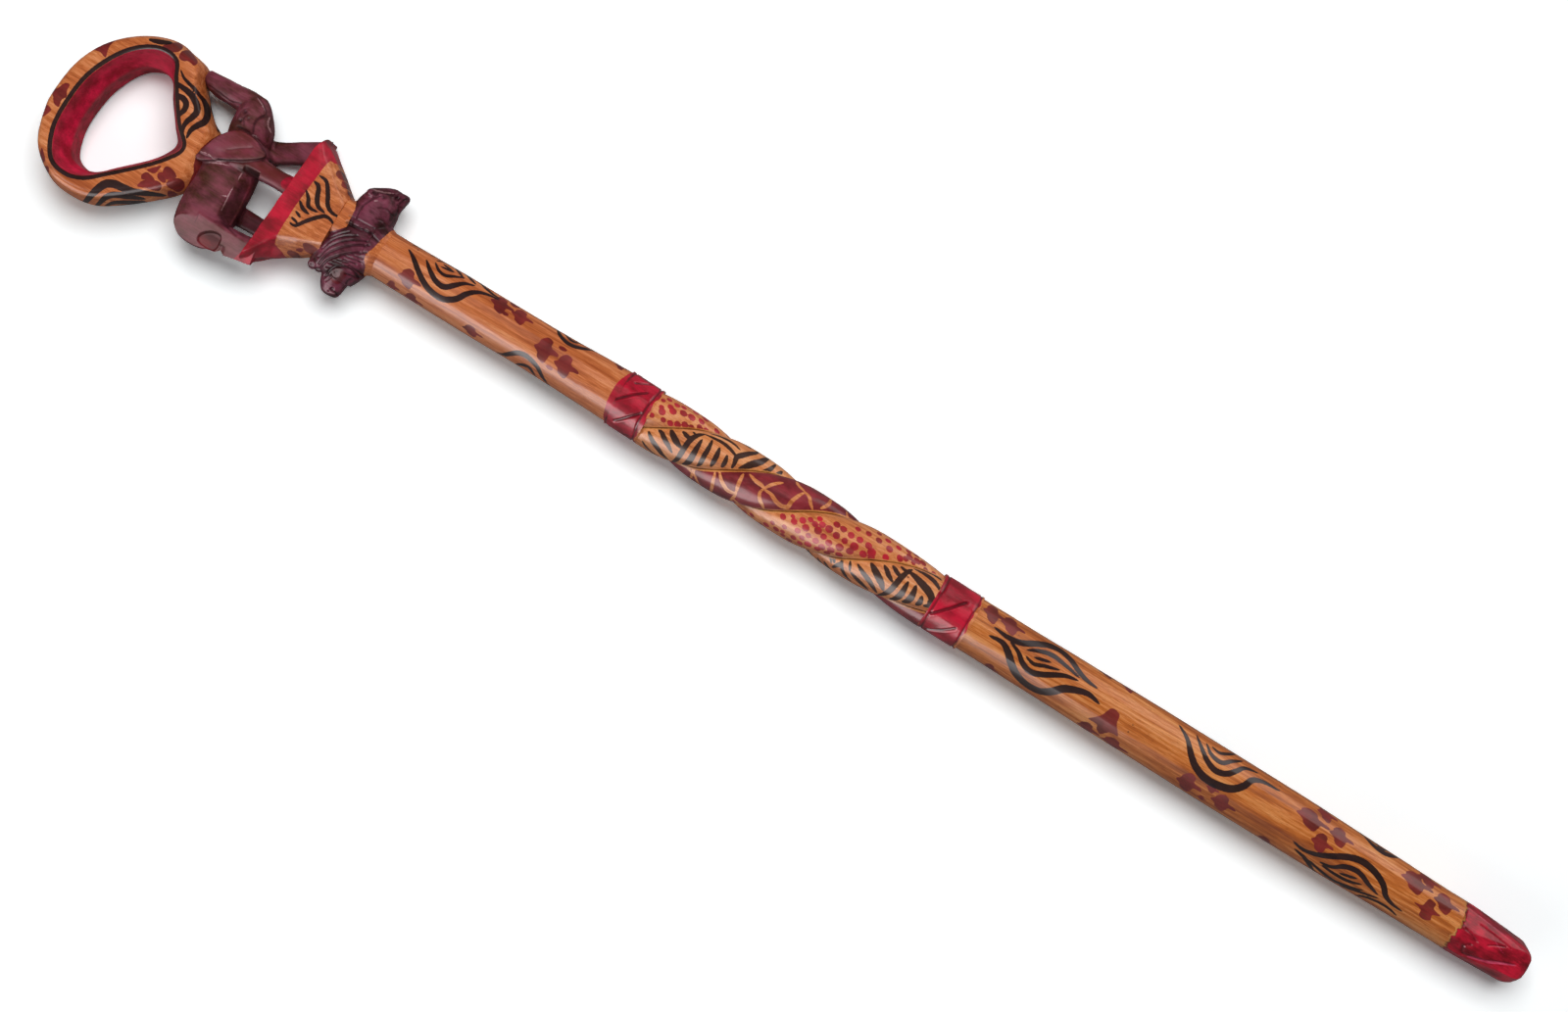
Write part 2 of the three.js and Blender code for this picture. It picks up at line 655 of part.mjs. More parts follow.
function strand(startShare, widthShare) {
  const widthAngle = 2 * Math.PI * widthShare;
  const radius = TWIST_WIDTH / 2;
  const rimAt = (share) => radius - STRAND_GROOVE_DEPTH * Math.abs(2 * share - 1) ** BLOCK_POWER;
  const rows = Array.from({ length: TWIST_STEPS + 1 }, (_, step) => {
    const x = TWIST_X + TWIST_LENGTH * step / TWIST_STEPS;
    const turn = turnAt(x) + 2 * Math.PI * startShare;
    const point = (angle, reach) => new THREE.Vector3(
      x,
      axisAt(x) + reach * Math.sin(turn + angle),
      reach * Math.cos(turn + angle),
    );
    const heart = point(widthAngle / 2, CLEARANCE / 2 / Math.sin(Math.min(widthAngle / 2, Math.PI / 2)));
    const lobe = Array.from({ length: LOBE_STEPS + 1 }, (_unused, i) => {
      const share = i / LOBE_STEPS;
      const reach = rimAt(share);
      const inset = CLEARANCE / 2 / reach;
      return point(inset + (widthAngle - 2 * inset) * share, reach);
    });
    return [heart, ...lobe];
  });
  return twistedLoft(rows);
}

// Loft whose two flat sides, from the first point to the second and back from the last, are split
// alike, so that the sides of neighbouring strands stay parallel
function twistedLoft(rows) {
  const count = rows[0].length;
  const points = rows.flat();
  const triangles = [];
  for (let row = 0; row + 1 < rows.length; row += 1) {
    for (let i = 0; i < count; i += 1) {
      const a = row * count + i;
      const b = row * count + (i + 1) % count;
      if (i === count - 1) {
        triangles.push([a, b, a + count], [b, b + count, a + count]);
      } else {
        triangles.push([a, b, b + count], [a, b + count, a + count]);
      }
    }
  }
  const last = (rows.length - 1) * count;
  for (let i = 1; i + 1 < count; i += 1) {
    triangles.push([0, i + 1, i], [last, last + i, last + i + 1]);
  }
  return closedGeometry(points, triangles);
}

// Tip: hewn in flats that wind round as it tapers, rounded over to a small flat end
function tip() {
  const rows = Array.from({ length: TIP_STEPS + 1 }, (_, step) => {
    const share = step / TIP_STEPS;
    const x = TIP_X + TIP_LENGTH * share;
    const taper = THREE.MathUtils.lerp(ANKLE_WIDTH, TIP_WIDTH, share);
    const over = Math.max(0, x - (END_X - TIP_ROUNDING)) / TIP_ROUNDING;
    const fall = 1 - Math.sqrt(1 - over * over);
    const width = THREE.MathUtils.lerp(taper, TIP_FACE_WIDTH, fall);
    const turn = -THREE.MathUtils.degToRad(TIP_TURN) * share;
    return stickRim(x, width, TIP_SIDES, Math.min(1, share * TIP_STEPS / 2), turn);
  });
  return loft(rows);
}

// Assembly, from the grip down to the tip
const bodyCut = sidewaysFigure(bodyForm, CLEARANCE);
const headCut = sidewaysFigure(headForm, CLEARANCE);
const trunkCut = standingLimb(trunkForm, CLEARANCE);
const earCuts = [1, -1].map((side) => earSlab(side, CLEARANCE));
const groundCut = toSolid(groundBlock());
const plinthBodyCut = toSolid(plinthBody(CLEARANCE));

addPiece('grip_loop', tan, carve(toSolid(gripLoop()), [bodyCut, headCut, trunkCut, ...earCuts]));

addPiece('elephant_body', maroon, toGeometry(sidewaysFigure(bodyForm)));
addPiece('elephant_head', maroon, carve(sidewaysFigure(headForm), [bodyCut]));
addPiece('elephant_trunk', maroon, carve(standingLimb(trunkForm), [headCut]));
addPiece('elephant_ear_near', maroon, carve(earSlab(1), [bodyCut, headCut]));
addPiece('elephant_ear_far', maroon, carve(earSlab(-1), [bodyCut, headCut]));
for (const [name, form] of Object.entries(legForms)) {
  addPiece(name, maroon, carve(standingLimb(form), [bodyCut, headCut, groundCut, ...earCuts]));
}

addPiece('plinth_top', crimson, plinthTop());
addPiece('plinth_body', tan, plinthBody());

const collarRows = [[0, COLLAR_WIDTH], [1, NECK_WIDTH]];
const collarCut = toSolid(stickLength(COLLAR_X - CLEARANCE, COLLAR_HEIGHT, collarRows, CLEARANCE));
const shaftRows = [[0, NECK_WIDTH], [0.3, WAIST_WIDTH], [0.6, WAIST_WIDTH], [1, UPPER_SHAFT_WIDTH]];
const shaftCut = toSolid(stickLength(UPPER_SHAFT_X, UPPER_SHAFT_LENGTH, shaftRows, CLEARANCE));
const below = [plinthBodyCut, collarCut, shaftCut];
const lion = withEars(
  sidewaysFigure(maneForm).add(sidewaysFigure(lionFaceForm)),
  maneForm.top + MANE_RISE + FELINE_EAR_LENGTH / 2, HEADS_DIVIDE - MANE_LENGTH, LION_FACE_DEPTH,
);
const lioness = withEars(
  sidewaysFigure(lionessForm).add(sidewaysFigure(jawForm)),
  headsTop + 4 * FELINE_EAR_LENGTH / 3, HEADS_DIVIDE + 2 * LIONESS_LENGTH / 3, LIONESS_DEPTH,
);
addPiece('lion_head', maroon, carve(lion, below));
addPiece('lioness_head', maroon, carve(lioness, below));
addPiece('neck_collar', maroon, stickLength(COLLAR_X, COLLAR_HEIGHT, collarRows));

addPiece('upper_shaft', tan, stickLength(UPPER_SHAFT_X, UPPER_SHAFT_LENGTH, shaftRows));
addPiece('upper_band', crimson, band(UPPER_BAND_X, UPPER_BAND_LENGTH));
const { leopard, zebra, giraffe } = strandShares;
addPiece('twist_leopard_strand', dotted, strand(TWIST_START_SHARE, leopard));
addPiece('twist_zebra_strand', striped, strand(TWIST_START_SHARE - zebra, zebra));
addPiece('twist_giraffe_strand', blotched, strand(TWIST_START_SHARE - zebra - giraffe, giraffe));
addPiece('lower_band', crimson, band(LOWER_BAND_X, LOWER_BAND_LENGTH));
const lowerShaftRows = [
  [0, UPPER_SHAFT_WIDTH], [0.25, LOWER_SHAFT_WIDTH], [0.7, LOWER_SHAFT_WIDTH], [1, ANKLE_WIDTH],
];
addPiece('lower_shaft', tan, stickLength(LOWER_SHAFT_X, LOWER_SHAFT_LENGTH, lowerShaftRows));
addPiece('tip', crimson, tip());

// The whole cane is set on the ground, centred over its own outline
const bounds = new THREE.Box3().setFromObject(group, true);
const centre = bounds.getCenter(new THREE.Vector3());
group.position.set(-centre.x, -centre.y, -bounds.min.z);

export default group;
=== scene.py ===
import math

import bpy
import numpy as np
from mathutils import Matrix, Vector


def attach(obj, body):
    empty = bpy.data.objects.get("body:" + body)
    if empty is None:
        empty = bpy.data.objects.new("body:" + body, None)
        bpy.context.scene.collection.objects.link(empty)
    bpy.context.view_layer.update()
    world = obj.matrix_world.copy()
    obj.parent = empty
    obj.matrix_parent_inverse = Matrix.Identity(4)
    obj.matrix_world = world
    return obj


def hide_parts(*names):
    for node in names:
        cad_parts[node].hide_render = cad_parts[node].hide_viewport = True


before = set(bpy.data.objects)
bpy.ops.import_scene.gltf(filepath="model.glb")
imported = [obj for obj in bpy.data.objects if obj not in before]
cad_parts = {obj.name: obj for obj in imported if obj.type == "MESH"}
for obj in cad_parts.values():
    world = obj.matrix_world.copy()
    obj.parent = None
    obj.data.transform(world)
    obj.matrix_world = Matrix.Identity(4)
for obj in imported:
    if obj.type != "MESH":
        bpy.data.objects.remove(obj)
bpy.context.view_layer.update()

# The grip is a loop sawn out of the thick end of the stick, with an arched top and a V below it.
# Its outer side is rounded for the hand, and the opening is bevelled from the front to a ridge.
# It is tan lacquered wood, with a crimson opening edged in black, zebra strokes and leopard spots.
GRIP_HEIGHT, GRIP_WIDTH, GRIP_DEPTH = 87, 101, 30
GRIP_BULGE, GRIP_ROUNDING, GRIP_CROWN, SANDED_OFF = 3.4, 1.8, 0.5, 0.2
RIDGE_HEIGHT, MOUTH_DROP, BEVEL_HOLLOW = 1, 0.4, 0.8
FOOT_FROM, FOOT_TO, FOOT_THINNED = 83, 92, 0.3
LOOP_STEPS = 430
OUTER_ROWS, FACE_ROWS, BEVEL_ROWS, WALL_ROWS = 44, 40, 23, 19
OPENING_FROM = OUTER_ROWS + FACE_ROWS
OPENING_TO = OPENING_FROM + BEVEL_ROWS + WALL_ROWS
HUB_SHARES = (-0.03, 0.45)
BLACK_EDGE_WIDTH = 2.5
CRIMSON_LIP = 0.3
SPOT_END_UP, SPOT_CLOSING = 7, 1.2

grip_outer_shares = [
    [-0.1, 0], [0.12, 0.034], [0.295, 0.14], [0.43, 0.323], [0.483, 0.498], [0.47, 0.602],
    [0.436, 0.735], [0.35, 0.785], [0.22, 0.92], [0.15, 1.03], [-0.1, 1.05], [-0.215, 0.97],
    [-0.362, 0.788], [-0.44, 0.668], [-0.496, 0.56], [-0.516, 0.45], [-0.5, 0.277], [-0.38, 0.091], [-0.18, 0.008],
]
opening_front_shares = [
    [-0.1, 0.155], [0.1, 0.189], [0.3, 0.319], [0.385, 0.464], [0.38, 0.575], [0.3, 0.631],
    [0.1, 0.79], [0.01, 0.885], [-0.08, 0.83], [-0.3, 0.575], [-0.39, 0.45], [-0.412, 0.35],
    [-0.387, 0.25], [-0.26, 0.17],
]
opening_ridge_shares = [
    [-0.1, 0.22], [0.1, 0.261], [0.257, 0.367], [0.302, 0.473], [0.287, 0.575], [0.2, 0.642],
    [0.08, 0.744], [0.01, 0.802], [-0.08, 0.763], [-0.257, 0.565], [-0.342, 0.454],
    [-0.356, 0.363], [-0.327, 0.28], [-0.22, 0.23],
]


def curve_through(points, closed=False, steps=10):
    """Smooth line through points, with as many steps between each two"""
    points = np.asarray(points, float)
    if closed:
        knots = np.vstack([points[-1], points, points[0], points[1]])
    else:
        knots = np.vstack([2 * points[0] - points[1], points, 2 * points[-1] - points[-2]])
    line = []
    t = np.linspace(0, 1, steps, endpoint=False)[:, None]
    for a, b, c, d in zip(knots, knots[1:], knots[2:], knots[3:]):
        before, span, after = (max(np.linalg.norm(q - p), 1e-6) ** 0.5 for p, q in ((a, b), (b, c), (c, d)))
        leave = ((b - a) / before - (c - a) / (before + span) + (c - b) / span) * span
        arrive = ((c - b) / span - (d - b) / (span + after) + (d - c) / after) * span
        line.append(
            b + t * leave + t**2 * (3 * (c - b) - 2 * leave - arrive) + t**3 * (2 * (b - c) + leave + arrive)
        )
    line = np.vstack(line)
    return line if closed else np.vstack([line, points[-1]])


def evenly(line, count):
    """Points spaced evenly round a closed line"""
    ring = np.vstack([line, line[:1]])
    along = np.concatenate([[0], np.cumsum(np.linalg.norm(np.diff(ring, axis=0), axis=1))])
    at = np.linspace(0, along[-1], count, endpoint=False)
    return np.stack([np.interp(at, along, ring[:, k]) for k in range(ring.shape[1])], 1)


FAR = 4.0
BRUSH_SPREAD, BRUSH_TIP = 1.38, 0.12


def close_to(places, shape, around):
    """Which places lie near a shape, and those places, moved round the stick to its side"""
    local = unwound(places, shape, around)
    close = np.all((local > shape.min(0) - FAR) & (local < shape.max(0) + FAR), axis=1)
    return close, local[close]


def along_run(spots, a, run):
    """Share of a straight run at which each spot lies beside it"""
    return np.clip((spots - a) @ run / max(run @ run, 1e-9), 0, 1)


def brushed(places, strokes, around=None):
    """Millimetres from each place to the nearest brushed stroke, negative under the paint"""
    nearest = np.full(len(places), FAR)
    for width, points in strokes:
        line = curve_through(points, steps=6)
        share = np.linspace(0, 1, len(line))
        half = BRUSH_SPREAD * width / 2 * (BRUSH_TIP + (1 - BRUSH_TIP) * np.sin(np.pi * share) ** 0.5)
        close, spots = close_to(places, line, around)
        best = np.full(len(spots), FAR)
        for a, b, start, end in zip(line, line[1:], half, half[1:]):
            run = b - a
            along = along_run(spots, a, run)
            gap = np.linalg.norm(spots - a - along[:, None] * run, axis=1) - start - (end - start) * along
            best = np.minimum(best, gap)
        nearest[close] = np.minimum(nearest[close], best)
    return nearest


def spotted(places, outlines, around=None):
    """Millimetres from each place to the nearest painted spot, negative inside its outline"""
    nearest = np.full(len(places), FAR)
    for outline in outlines:
        close, spots = close_to(places, outline, around)
        best = np.full(len(spots), FAR)
        inside = np.zeros(len(spots), bool)
        for a, b in zip(outline, np.roll(outline, -1, 0)):
            run = b - a
            along = along_run(spots, a, run)
            best = np.minimum(best, np.linalg.norm(spots - a - along[:, None] * run, axis=1))
            between = (a[1] > spots[:, 1]) != (b[1] > spots[:, 1])
            with np.errstate(divide="ignore", invalid="ignore"):
                crossing = a[0] + (spots[:, 1] - a[1]) / (b[1] - a[1]) * (b[0] - a[0])
            inside ^= between & (spots[:, 0] < crossing)
        nearest[close] = np.minimum(nearest[close], np.where(inside, -best, best))
    return nearest


def unwound(places, shape, around):
    """Places moved a whole turn round the stick where that brings them nearer to a shape"""
    if around is None:
        return places
    middle = (shape[:, 0].min() + shape[:, 0].max()) / 2
    local = places.copy()
    local[:, 0] = middle + (local[:, 0] - middle + around / 2) % around - around / 2
    return local


def skin(rings, looped=False):
    """Points and faces of a skin over rings of as many points each, looped or capped at its ends"""
    rows, columns, _ = rings.shape
    index = np.arange(rows * columns).reshape(rows, columns)
    if looped:
        index = np.vstack([index, index[:1]])
    near, far = index[:-1], index[1:]
    faces = np.stack([near, np.roll(near, -1, 1), np.roll(far, -1, 1), far], -1).reshape(-1, 4).tolist()
    points = rings.reshape(-1, 3)
    if not looped:
        points = np.vstack([points, rings[0].mean(0), rings[-1].mean(0)])
        start, end = rows * columns, rows * columns + 1
        faces += [[start, b, a] for a, b in zip(index[0], np.roll(index[0], -1))]
        faces += [[end, a, b] for a, b in zip(index[-1], np.roll(index[-1], -1))]
    return points, faces


PER_METRE = 1000
CANE_CORNER = np.array([-459.5, 1.6, 16.5])


def carved(name, points, faces, crease=50):
    """Piece of wood from points in millimetres down the cane, across it and up"""
    mesh = bpy.data.meshes.new(name)
    mesh.from_pydata(((np.asarray(points) + CANE_CORNER) / PER_METRE).tolist(), [], faces)
    mesh.update()
    if signed_volume(mesh) < 0:
        mesh.flip_normals()
    return shown(name, mesh, crease)


def shown(name, mesh, crease):
    """Piece from a mesh, shaded smooth except at creases sharper than so many degrees"""
    mesh.polygons.foreach_set("use_smooth", [True] * len(mesh.polygons))
    mesh.set_sharp_from_angle(angle=math.radians(crease))
    piece = bpy.data.objects.new(name, mesh)
    bpy.context.scene.collection.objects.link(piece)
    return piece


def signed_volume(mesh):
    """Six times a mesh's volume, negative where its faces point inwards"""
    mesh.calc_loop_triangles()
    corners = np.empty(len(mesh.loop_triangles) * 3, int)
    mesh.loop_triangles.foreach_get("vertices", corners)
    a, b, c = np.swapaxes(points_of(mesh)[corners].reshape(-1, 3, 3), 0, 1)
    return np.einsum("ij,ij->", a, np.cross(b, c))


def points_of(mesh):
    """A mesh's points, in millimetres down the cane, across it and up"""
    flat = np.empty(len(mesh.vertices) * 3)
    mesh.vertices.foreach_get("co", flat)
    return flat.reshape(-1, 3) * PER_METRE - CANE_CORNER


def normals_of(mesh):
    """A mesh's directions out of its surface, one at each point"""
    flat = np.empty(len(mesh.vertices) * 3)
    mesh.vertex_normals.foreach_get("vector", flat)
    return flat.reshape(-1, 3)


EYE_DOWN, EYE_ACROSS, EYE_UP, FACE_UP = 450.1, 1.57, 1200, 14.5


def drawn_place(points):
    """Place across and down the cane where a point seems to lie on its front, seen from above"""
    shrink = ((EYE_UP - FACE_UP) / (EYE_UP - abs(points[:, 2])))[:, None]
    return (points[:, [1, 0]] - [EYE_ACROSS, EYE_DOWN]) * shrink + [EYE_ACROSS, EYE_DOWN]


def note(piece, **layers):
    """Keeps a number for every point of a piece, for its material to read"""
    for name, values in layers.items():
        layer = piece.data.attributes.new(name, "FLOAT", "POINT")
        layer.data.foreach_set("value", np.asarray(values, np.float32))


def rim_reach(outline, hub, directions):
    """How far from the hub each direction leaves a closed outline"""
    a = outline - hub
    b = np.roll(outline, -1, 0) - hub
    side_a = np.outer(directions[:, 0], a[:, 1]) - np.outer(directions[:, 1], a[:, 0])
    side_b = np.outer(directions[:, 0], b[:, 1]) - np.outer(directions[:, 1], b[:, 0])
    share = side_a / np.where(side_a == side_b, 1, side_a - side_b)
    along = (1 - share) * (directions @ a.T) + share * (directions @ b.T)
    along = np.where((side_a * side_b <= 0) & (along > 0), along, -1)
    return along.max(1)


grip_scale = np.array([GRIP_WIDTH, GRIP_HEIGHT])
hub = np.array(HUB_SHARES) * grip_scale
outer_line, mouth_line, ridge_line = (
    curve_through(np.array(shares) * grip_scale, closed=True, steps=30)
    for shares in (grip_outer_shares, opening_front_shares, opening_ridge_shares)
)
outward = evenly(outer_line, LOOP_STEPS) - hub
outer_reach = np.linalg.norm(outward, axis=1)
outward /= outer_reach[:, None]
outer_reach -= SANDED_OFF
mouth_reach = rim_reach(mouth_line, hub, outward)
ridge_reach = rim_reach(ridge_line, hub, outward)


def smoothstep(low, high, value):
    """Share from 0 to 1 between two limits, eased at both"""
    share = np.clip((value - low) / (high - low), 0, 1)
    return share * share * (3 - 2 * share)


def grip_rings():
    """Sections of the loop: outer side, front face, bevel, wall and back face, with eased corners"""
    half = GRIP_DEPTH / 2
    mouth_up = half - MOUTH_DROP
    outer_edge = outer_reach - GRIP_BULGE - GRIP_ROUNDING
    sections = []

    def section(reach, z):
        sections.append(np.stack([reach, np.full(LOOP_STEPS, z)]))

    for lift in np.linspace(-1, 1, OUTER_ROWS):
        over = np.clip((abs(half * lift) - half + GRIP_ROUNDING) / GRIP_ROUNDING, 0, 1)
        inset = GRIP_BULGE * lift**2 + GRIP_ROUNDING * (1 - math.sqrt(1 - over**2))
        section(outer_reach - inset, half * lift)
    for share in np.linspace(0, 1, FACE_ROWS + 2)[1:-1]:
        crown = GRIP_CROWN * (2 * share - 1) ** 4
        section(outer_edge + (mouth_reach - outer_edge) * share, half - crown)
    for share in np.linspace(0, 1, BEVEL_ROWS + 1)[:-1]:
        hollow = BEVEL_HOLLOW * math.sin(math.pi * share)
        reach = mouth_reach + (ridge_reach - mouth_reach) * share + hollow
        section(reach, mouth_up + (RIDGE_HEIGHT - mouth_up) * share)
    for share in np.linspace(0, 1, WALL_ROWS + 1)[:-1]:
        section(ridge_reach, RIDGE_HEIGHT - (mouth_up + RIDGE_HEIGHT) * share)
    for share in np.linspace(0, 1, FACE_ROWS + 2)[:-1]:
        crown = GRIP_CROWN * (2 * share - 1) ** 4
        section(ridge_reach + (outer_edge - ridge_reach) * share, crown - half)
    outline = np.stack(sections, -1)
    for _ in range(2):
        outline = (np.roll(outline, 1, 2) + 2 * outline + np.roll(outline, -1, 2)) / 4
    reach, z = outline
    across = hub[0] + outward[:, :1] * reach
    down = hub[1] + outward[:, 1:] * reach
    # Towards the elephant's back the block is thinned
    z = z * (1 - FOOT_THINNED * smoothstep(FOOT_FROM, FOOT_TO, down))
    return np.stack([down, across, z], -1)


grip_strokes = [
    (3.3, [(-53, 47.6), (-50, 48.3), (-45.1, 49.2), (-40.9, 50.4), (-36.8, 52.4), (-34.4, 56.3), (-33.7, 61),
           (-32.6, 67), (-29.6, 74.2), (-25.4, 83.5)]),
    (2.5, [(-51, 53.8), (-47, 55), (-43.3, 56), (-40.4, 58), (-38.5, 60.8), (-37, 64.7), (-35.2, 69), (-32.6, 75)]),
    (1.5, [(-47.6, 58), (-45, 59.6), (-43, 61.4), (-40.8, 64.7), (-38.1, 69), (-35.9, 72.5), (-33.6, 75.4)]),
    (0.9, [(-45.6, 61.6), (-43.8, 63.6), (-41.3, 67.2), (-38, 72)]),
    (2.0, [(41, 32.5), (43, 38.5), (46, 44.5)]),
    (2.5, [(20, 56), (22.2, 59.4), (23.5, 62.6), (23.4, 65.2), (21.8, 67.5), (18.9, 68.2), (15.4, 67.3),
           (12.6, 67.2)]),
    (2.7, [(28, 53), (28.6, 58), (28.4, 62), (27.7, 66.2), (26.2, 69.8), (23.7, 73.1), (21, 74.5), (17.5, 73.9),
           (14, 72.6), (9.8, 72.6), (4.9, 75.3)]),
    (1.5, [(36, 55.5), (33.2, 59.4), (31.9, 63.5), (30.8, 67.8), (28.7, 72.6), (26.4, 76.6)]),
    (2.8, [(30, 70), (27.6, 75.6), (25, 78.6), (21.6, 80.6), (18.4, 80.6), (15.2, 78.6), (11.2, 76.8), (6.2, 77)]),
    (1.1, [(27.8, 79.5), (23.6, 83.8), (17.4, 90.4)]),
]
grip_spots = [
    [(-14.5, 10), (-14, 7), (-11, 4.5), (-9, 2), (-6, 4.5), (-1.5, 6.5), (-1, 9), (-5, 9.5), (-7.5, 11), (-10, 9.5)],
    [(-23.5, 5), (-19, 2), (-16.5, 4), (-17.5, 7.5), (-20, 7)],
    [(21.5, 10), (25, 11.5), (29, 12), (33, 18), (28, 16.8), (24, 17.3), (21, 18), (22, 14)],
    [(-37.5, 13.5), (-41, 14.5), (-45, 17.5), (-42.5, 18.5), (-39.5, 16)],
    [(-45.5, 19.5), (-48.5, 20.5), (-48, 23.5), (-44.5, 22)],
    [(41.5, 41), (44, 42), (48, 48), (47, 50.5), (44, 50), (42, 47.5)],
    [(41, 51.5), (44.5, 51), (47, 54), (46, 58), (44, 61.5), (41.5, 60.5), (42, 57), (40.5, 54)],
    [(-29, 67.5), (-25, 68.5), (-21, 76), (-22, 78.5), (-25, 79), (-27.5, 72)],
    [(-24.5, 67.5), (-22.5, 66.5), (-20, 68), (-20.5, 72), (-21.5, 74)],
    [(-19, 67.5), (-17, 69), (-13, 73), (-16, 72.8), (-18.5, 72)],
    [(-20, 75), (-17.5, 73.5), (-15.5, 76), (-18, 78.5), (-20, 79.5)],
    [(-15, 75), (-12, 75.5), (-11.5, 78), (-14, 83), (-17, 80.5), (-18, 79)],
    [(-20.5, 80.5), (-18, 80), (-14, 84.5), (-14.5, 88), (-17, 89.5), (-20.5, 88), (-21, 84)],
    [(-25, 84), (-22.5, 83), (-21.5, 88), (-22, 90), (-24.5, 89)],
]
grip_foot = [
    (-7, 89.5), (-4, 87.4), (0, 86.4), (6, 86.4), (12, 88.4), (17, 91), (16, 99), (-30, 99), (-24, 90.5),
    (-14, 90.5),
]


def srgb(*shades):
    """Colour from three screen shades of 0 to 255, made linear for a shader"""
    return tuple(((c / 255 + 0.055) / 1.055) ** 2.4 if c > 10 else c / 255 / 12.92 for c in shades) + (1,)


def add(tree, kind, inputs=(), **settings):
    """Node in a tree, with its settings, and its inputs linked or set"""
    made = tree.nodes.new(kind)
    for name, value in settings.items():
        setattr(made, name, value)
    for socket, value in dict(inputs).items():
        if isinstance(value, bpy.types.NodeSocket):
            tree.links.new(value, made.inputs[socket])
        else:
            made.inputs[socket].default_value = value
    return made


def calc(tree, operation, *values):
    """Number from a sum, product or the like of sockets and numbers"""
    return add(tree, "ShaderNodeMath", enumerate(values), operation=operation).outputs[0]


def ranged(tree, value, low, high, to_low=0.0, to_high=1.0, smooth=True):
    """Number carried from one range into another"""
    kind = "SMOOTHSTEP" if smooth else "LINEAR"
    inputs = {0: value, 1: low, 2: high, 3: to_low, 4: to_high}
    return add(tree, "ShaderNodeMapRange", inputs, interpolation_type=kind).outputs[0]


def stretched_noise(tree, vector, stretch, detail, roughness=0.55):
    """Noise whose features are drawn out along the stick; stretch is in features for each metre"""
    scaled = add(tree, "ShaderNodeVectorMath", {0: vector, 1: stretch}, operation="MULTIPLY").outputs[0]
    inputs = {"Vector": scaled, "Scale": 1.0, "Detail": detail, "Roughness": roughness}
    return add(tree, "ShaderNodeTexNoise", inputs).outputs[0]


def mixed(tree, factor, first, second):
    """Colour part of the way from the first to the second"""
    return add(tree, "ShaderNodeMix", {0: factor, 6: first, 7: second}, data_type="RGBA").outputs[2]


def weighed(tree, *parts):
    """Sum of values, each times its weight"""
    products = [calc(tree, "MULTIPLY", value, weight) for value, weight in parts]
    total = products[0]
    for product in products[1:]:
        total = calc(tree, "ADD", total, product)
    return total


def shader_group(name, inputs, outputs):
    """Node group with named inputs and outputs, and the sockets of both inside it"""
    tree = bpy.data.node_groups.new(name, "ShaderNodeTree")
    for label, kind, value in inputs:
        socket = tree.interface.new_socket(label, in_out="INPUT", socket_type=kind)
        if value is not None:
            socket.default_value = value
    for label, kind in outputs:
        tree.interface.new_socket(label, in_out="OUTPUT", socket_type=kind)
    return tree, tree.nodes.new("NodeGroupInput").outputs, tree.nodes.new("NodeGroupOutput").inputs


def in_group(tree, group, **inputs):
    """A group's outputs, for inputs given by name"""
    return add(tree, "ShaderNodeGroup", inputs, node_tree=group).outputs


def wood_grain_group():
    """Tan wood: streaks and pores along the stick, darker bands and a few pits"""
    tree, given, out = shader_group(
        "wood_grain",
        [("Vector", "NodeSocketVector", None), ("Dark", "NodeSocketColor", srgb(150, 70, 32)),
         ("Middle", "NodeSocketColor", srgb(200, 108, 56)), ("Light", "NodeSocketColor", srgb(226, 148, 96))],
        [("Color", "NodeSocketColor"), ("Height", "NodeSocketFloat")],
    )
    vector = given["Vector"]
    broad = stretched_noise(tree, vector, (9, 75, 75), 2.0)
    streak = stretched_noise(tree, vector, (26, 520, 520), 4.0)
    fine = stretched_noise(tree, vector, (120, 2600, 2600), 2.0)
    pores = ranged(tree, stretched_noise(tree, vector, (330, 3600, 3600), 1.0), 0.6, 0.72)
    pits = add(tree, "ShaderNodeTexVoronoi", {"Vector": vector, "Scale": 210.0, "Randomness": 1.0})
    chance = add(tree, "ShaderNodeSeparateColor", {0: pits.outputs["Color"]}).outputs[0]
    picked = ranged(tree, chance, 0.93, 0.95)
    pit = calc(tree, "MULTIPLY", ranged(tree, pits.outputs["Distance"], 0.07, 0.16, 1.0, 0.0), picked)
    tone = weighed(tree, (broad, 0.45), (streak, 0.55), (calc(tree, "SUBTRACT", fine, 0.5), 0.3))
    tone = ranged(tree, tone, 0.26, 0.74)
    colour = mixed(tree, ranged(tree, tone, 0.0, 0.5, smooth=False), given["Dark"], given["Middle"])
    colour = mixed(tree, ranged(tree, tone, 0.5, 1.0, smooth=False), colour, given["Light"])
    colour = mixed(tree, calc(tree, "MULTIPLY", pores, 0.5), colour, given["Dark"])
    colour = mixed(tree, calc(tree, "MULTIPLY", pit, 0.8), colour, srgb(70, 34, 20))
    tree.links.new(colour, out["Color"])
    sunk = calc(tree, "ADD", calc(tree, "MULTIPLY", pores, 0.5), pit)
    tree.links.new(calc(tree, "SUBTRACT", calc(tree, "MULTIPLY", streak, 0.4), sunk), out["Height"])
    return tree


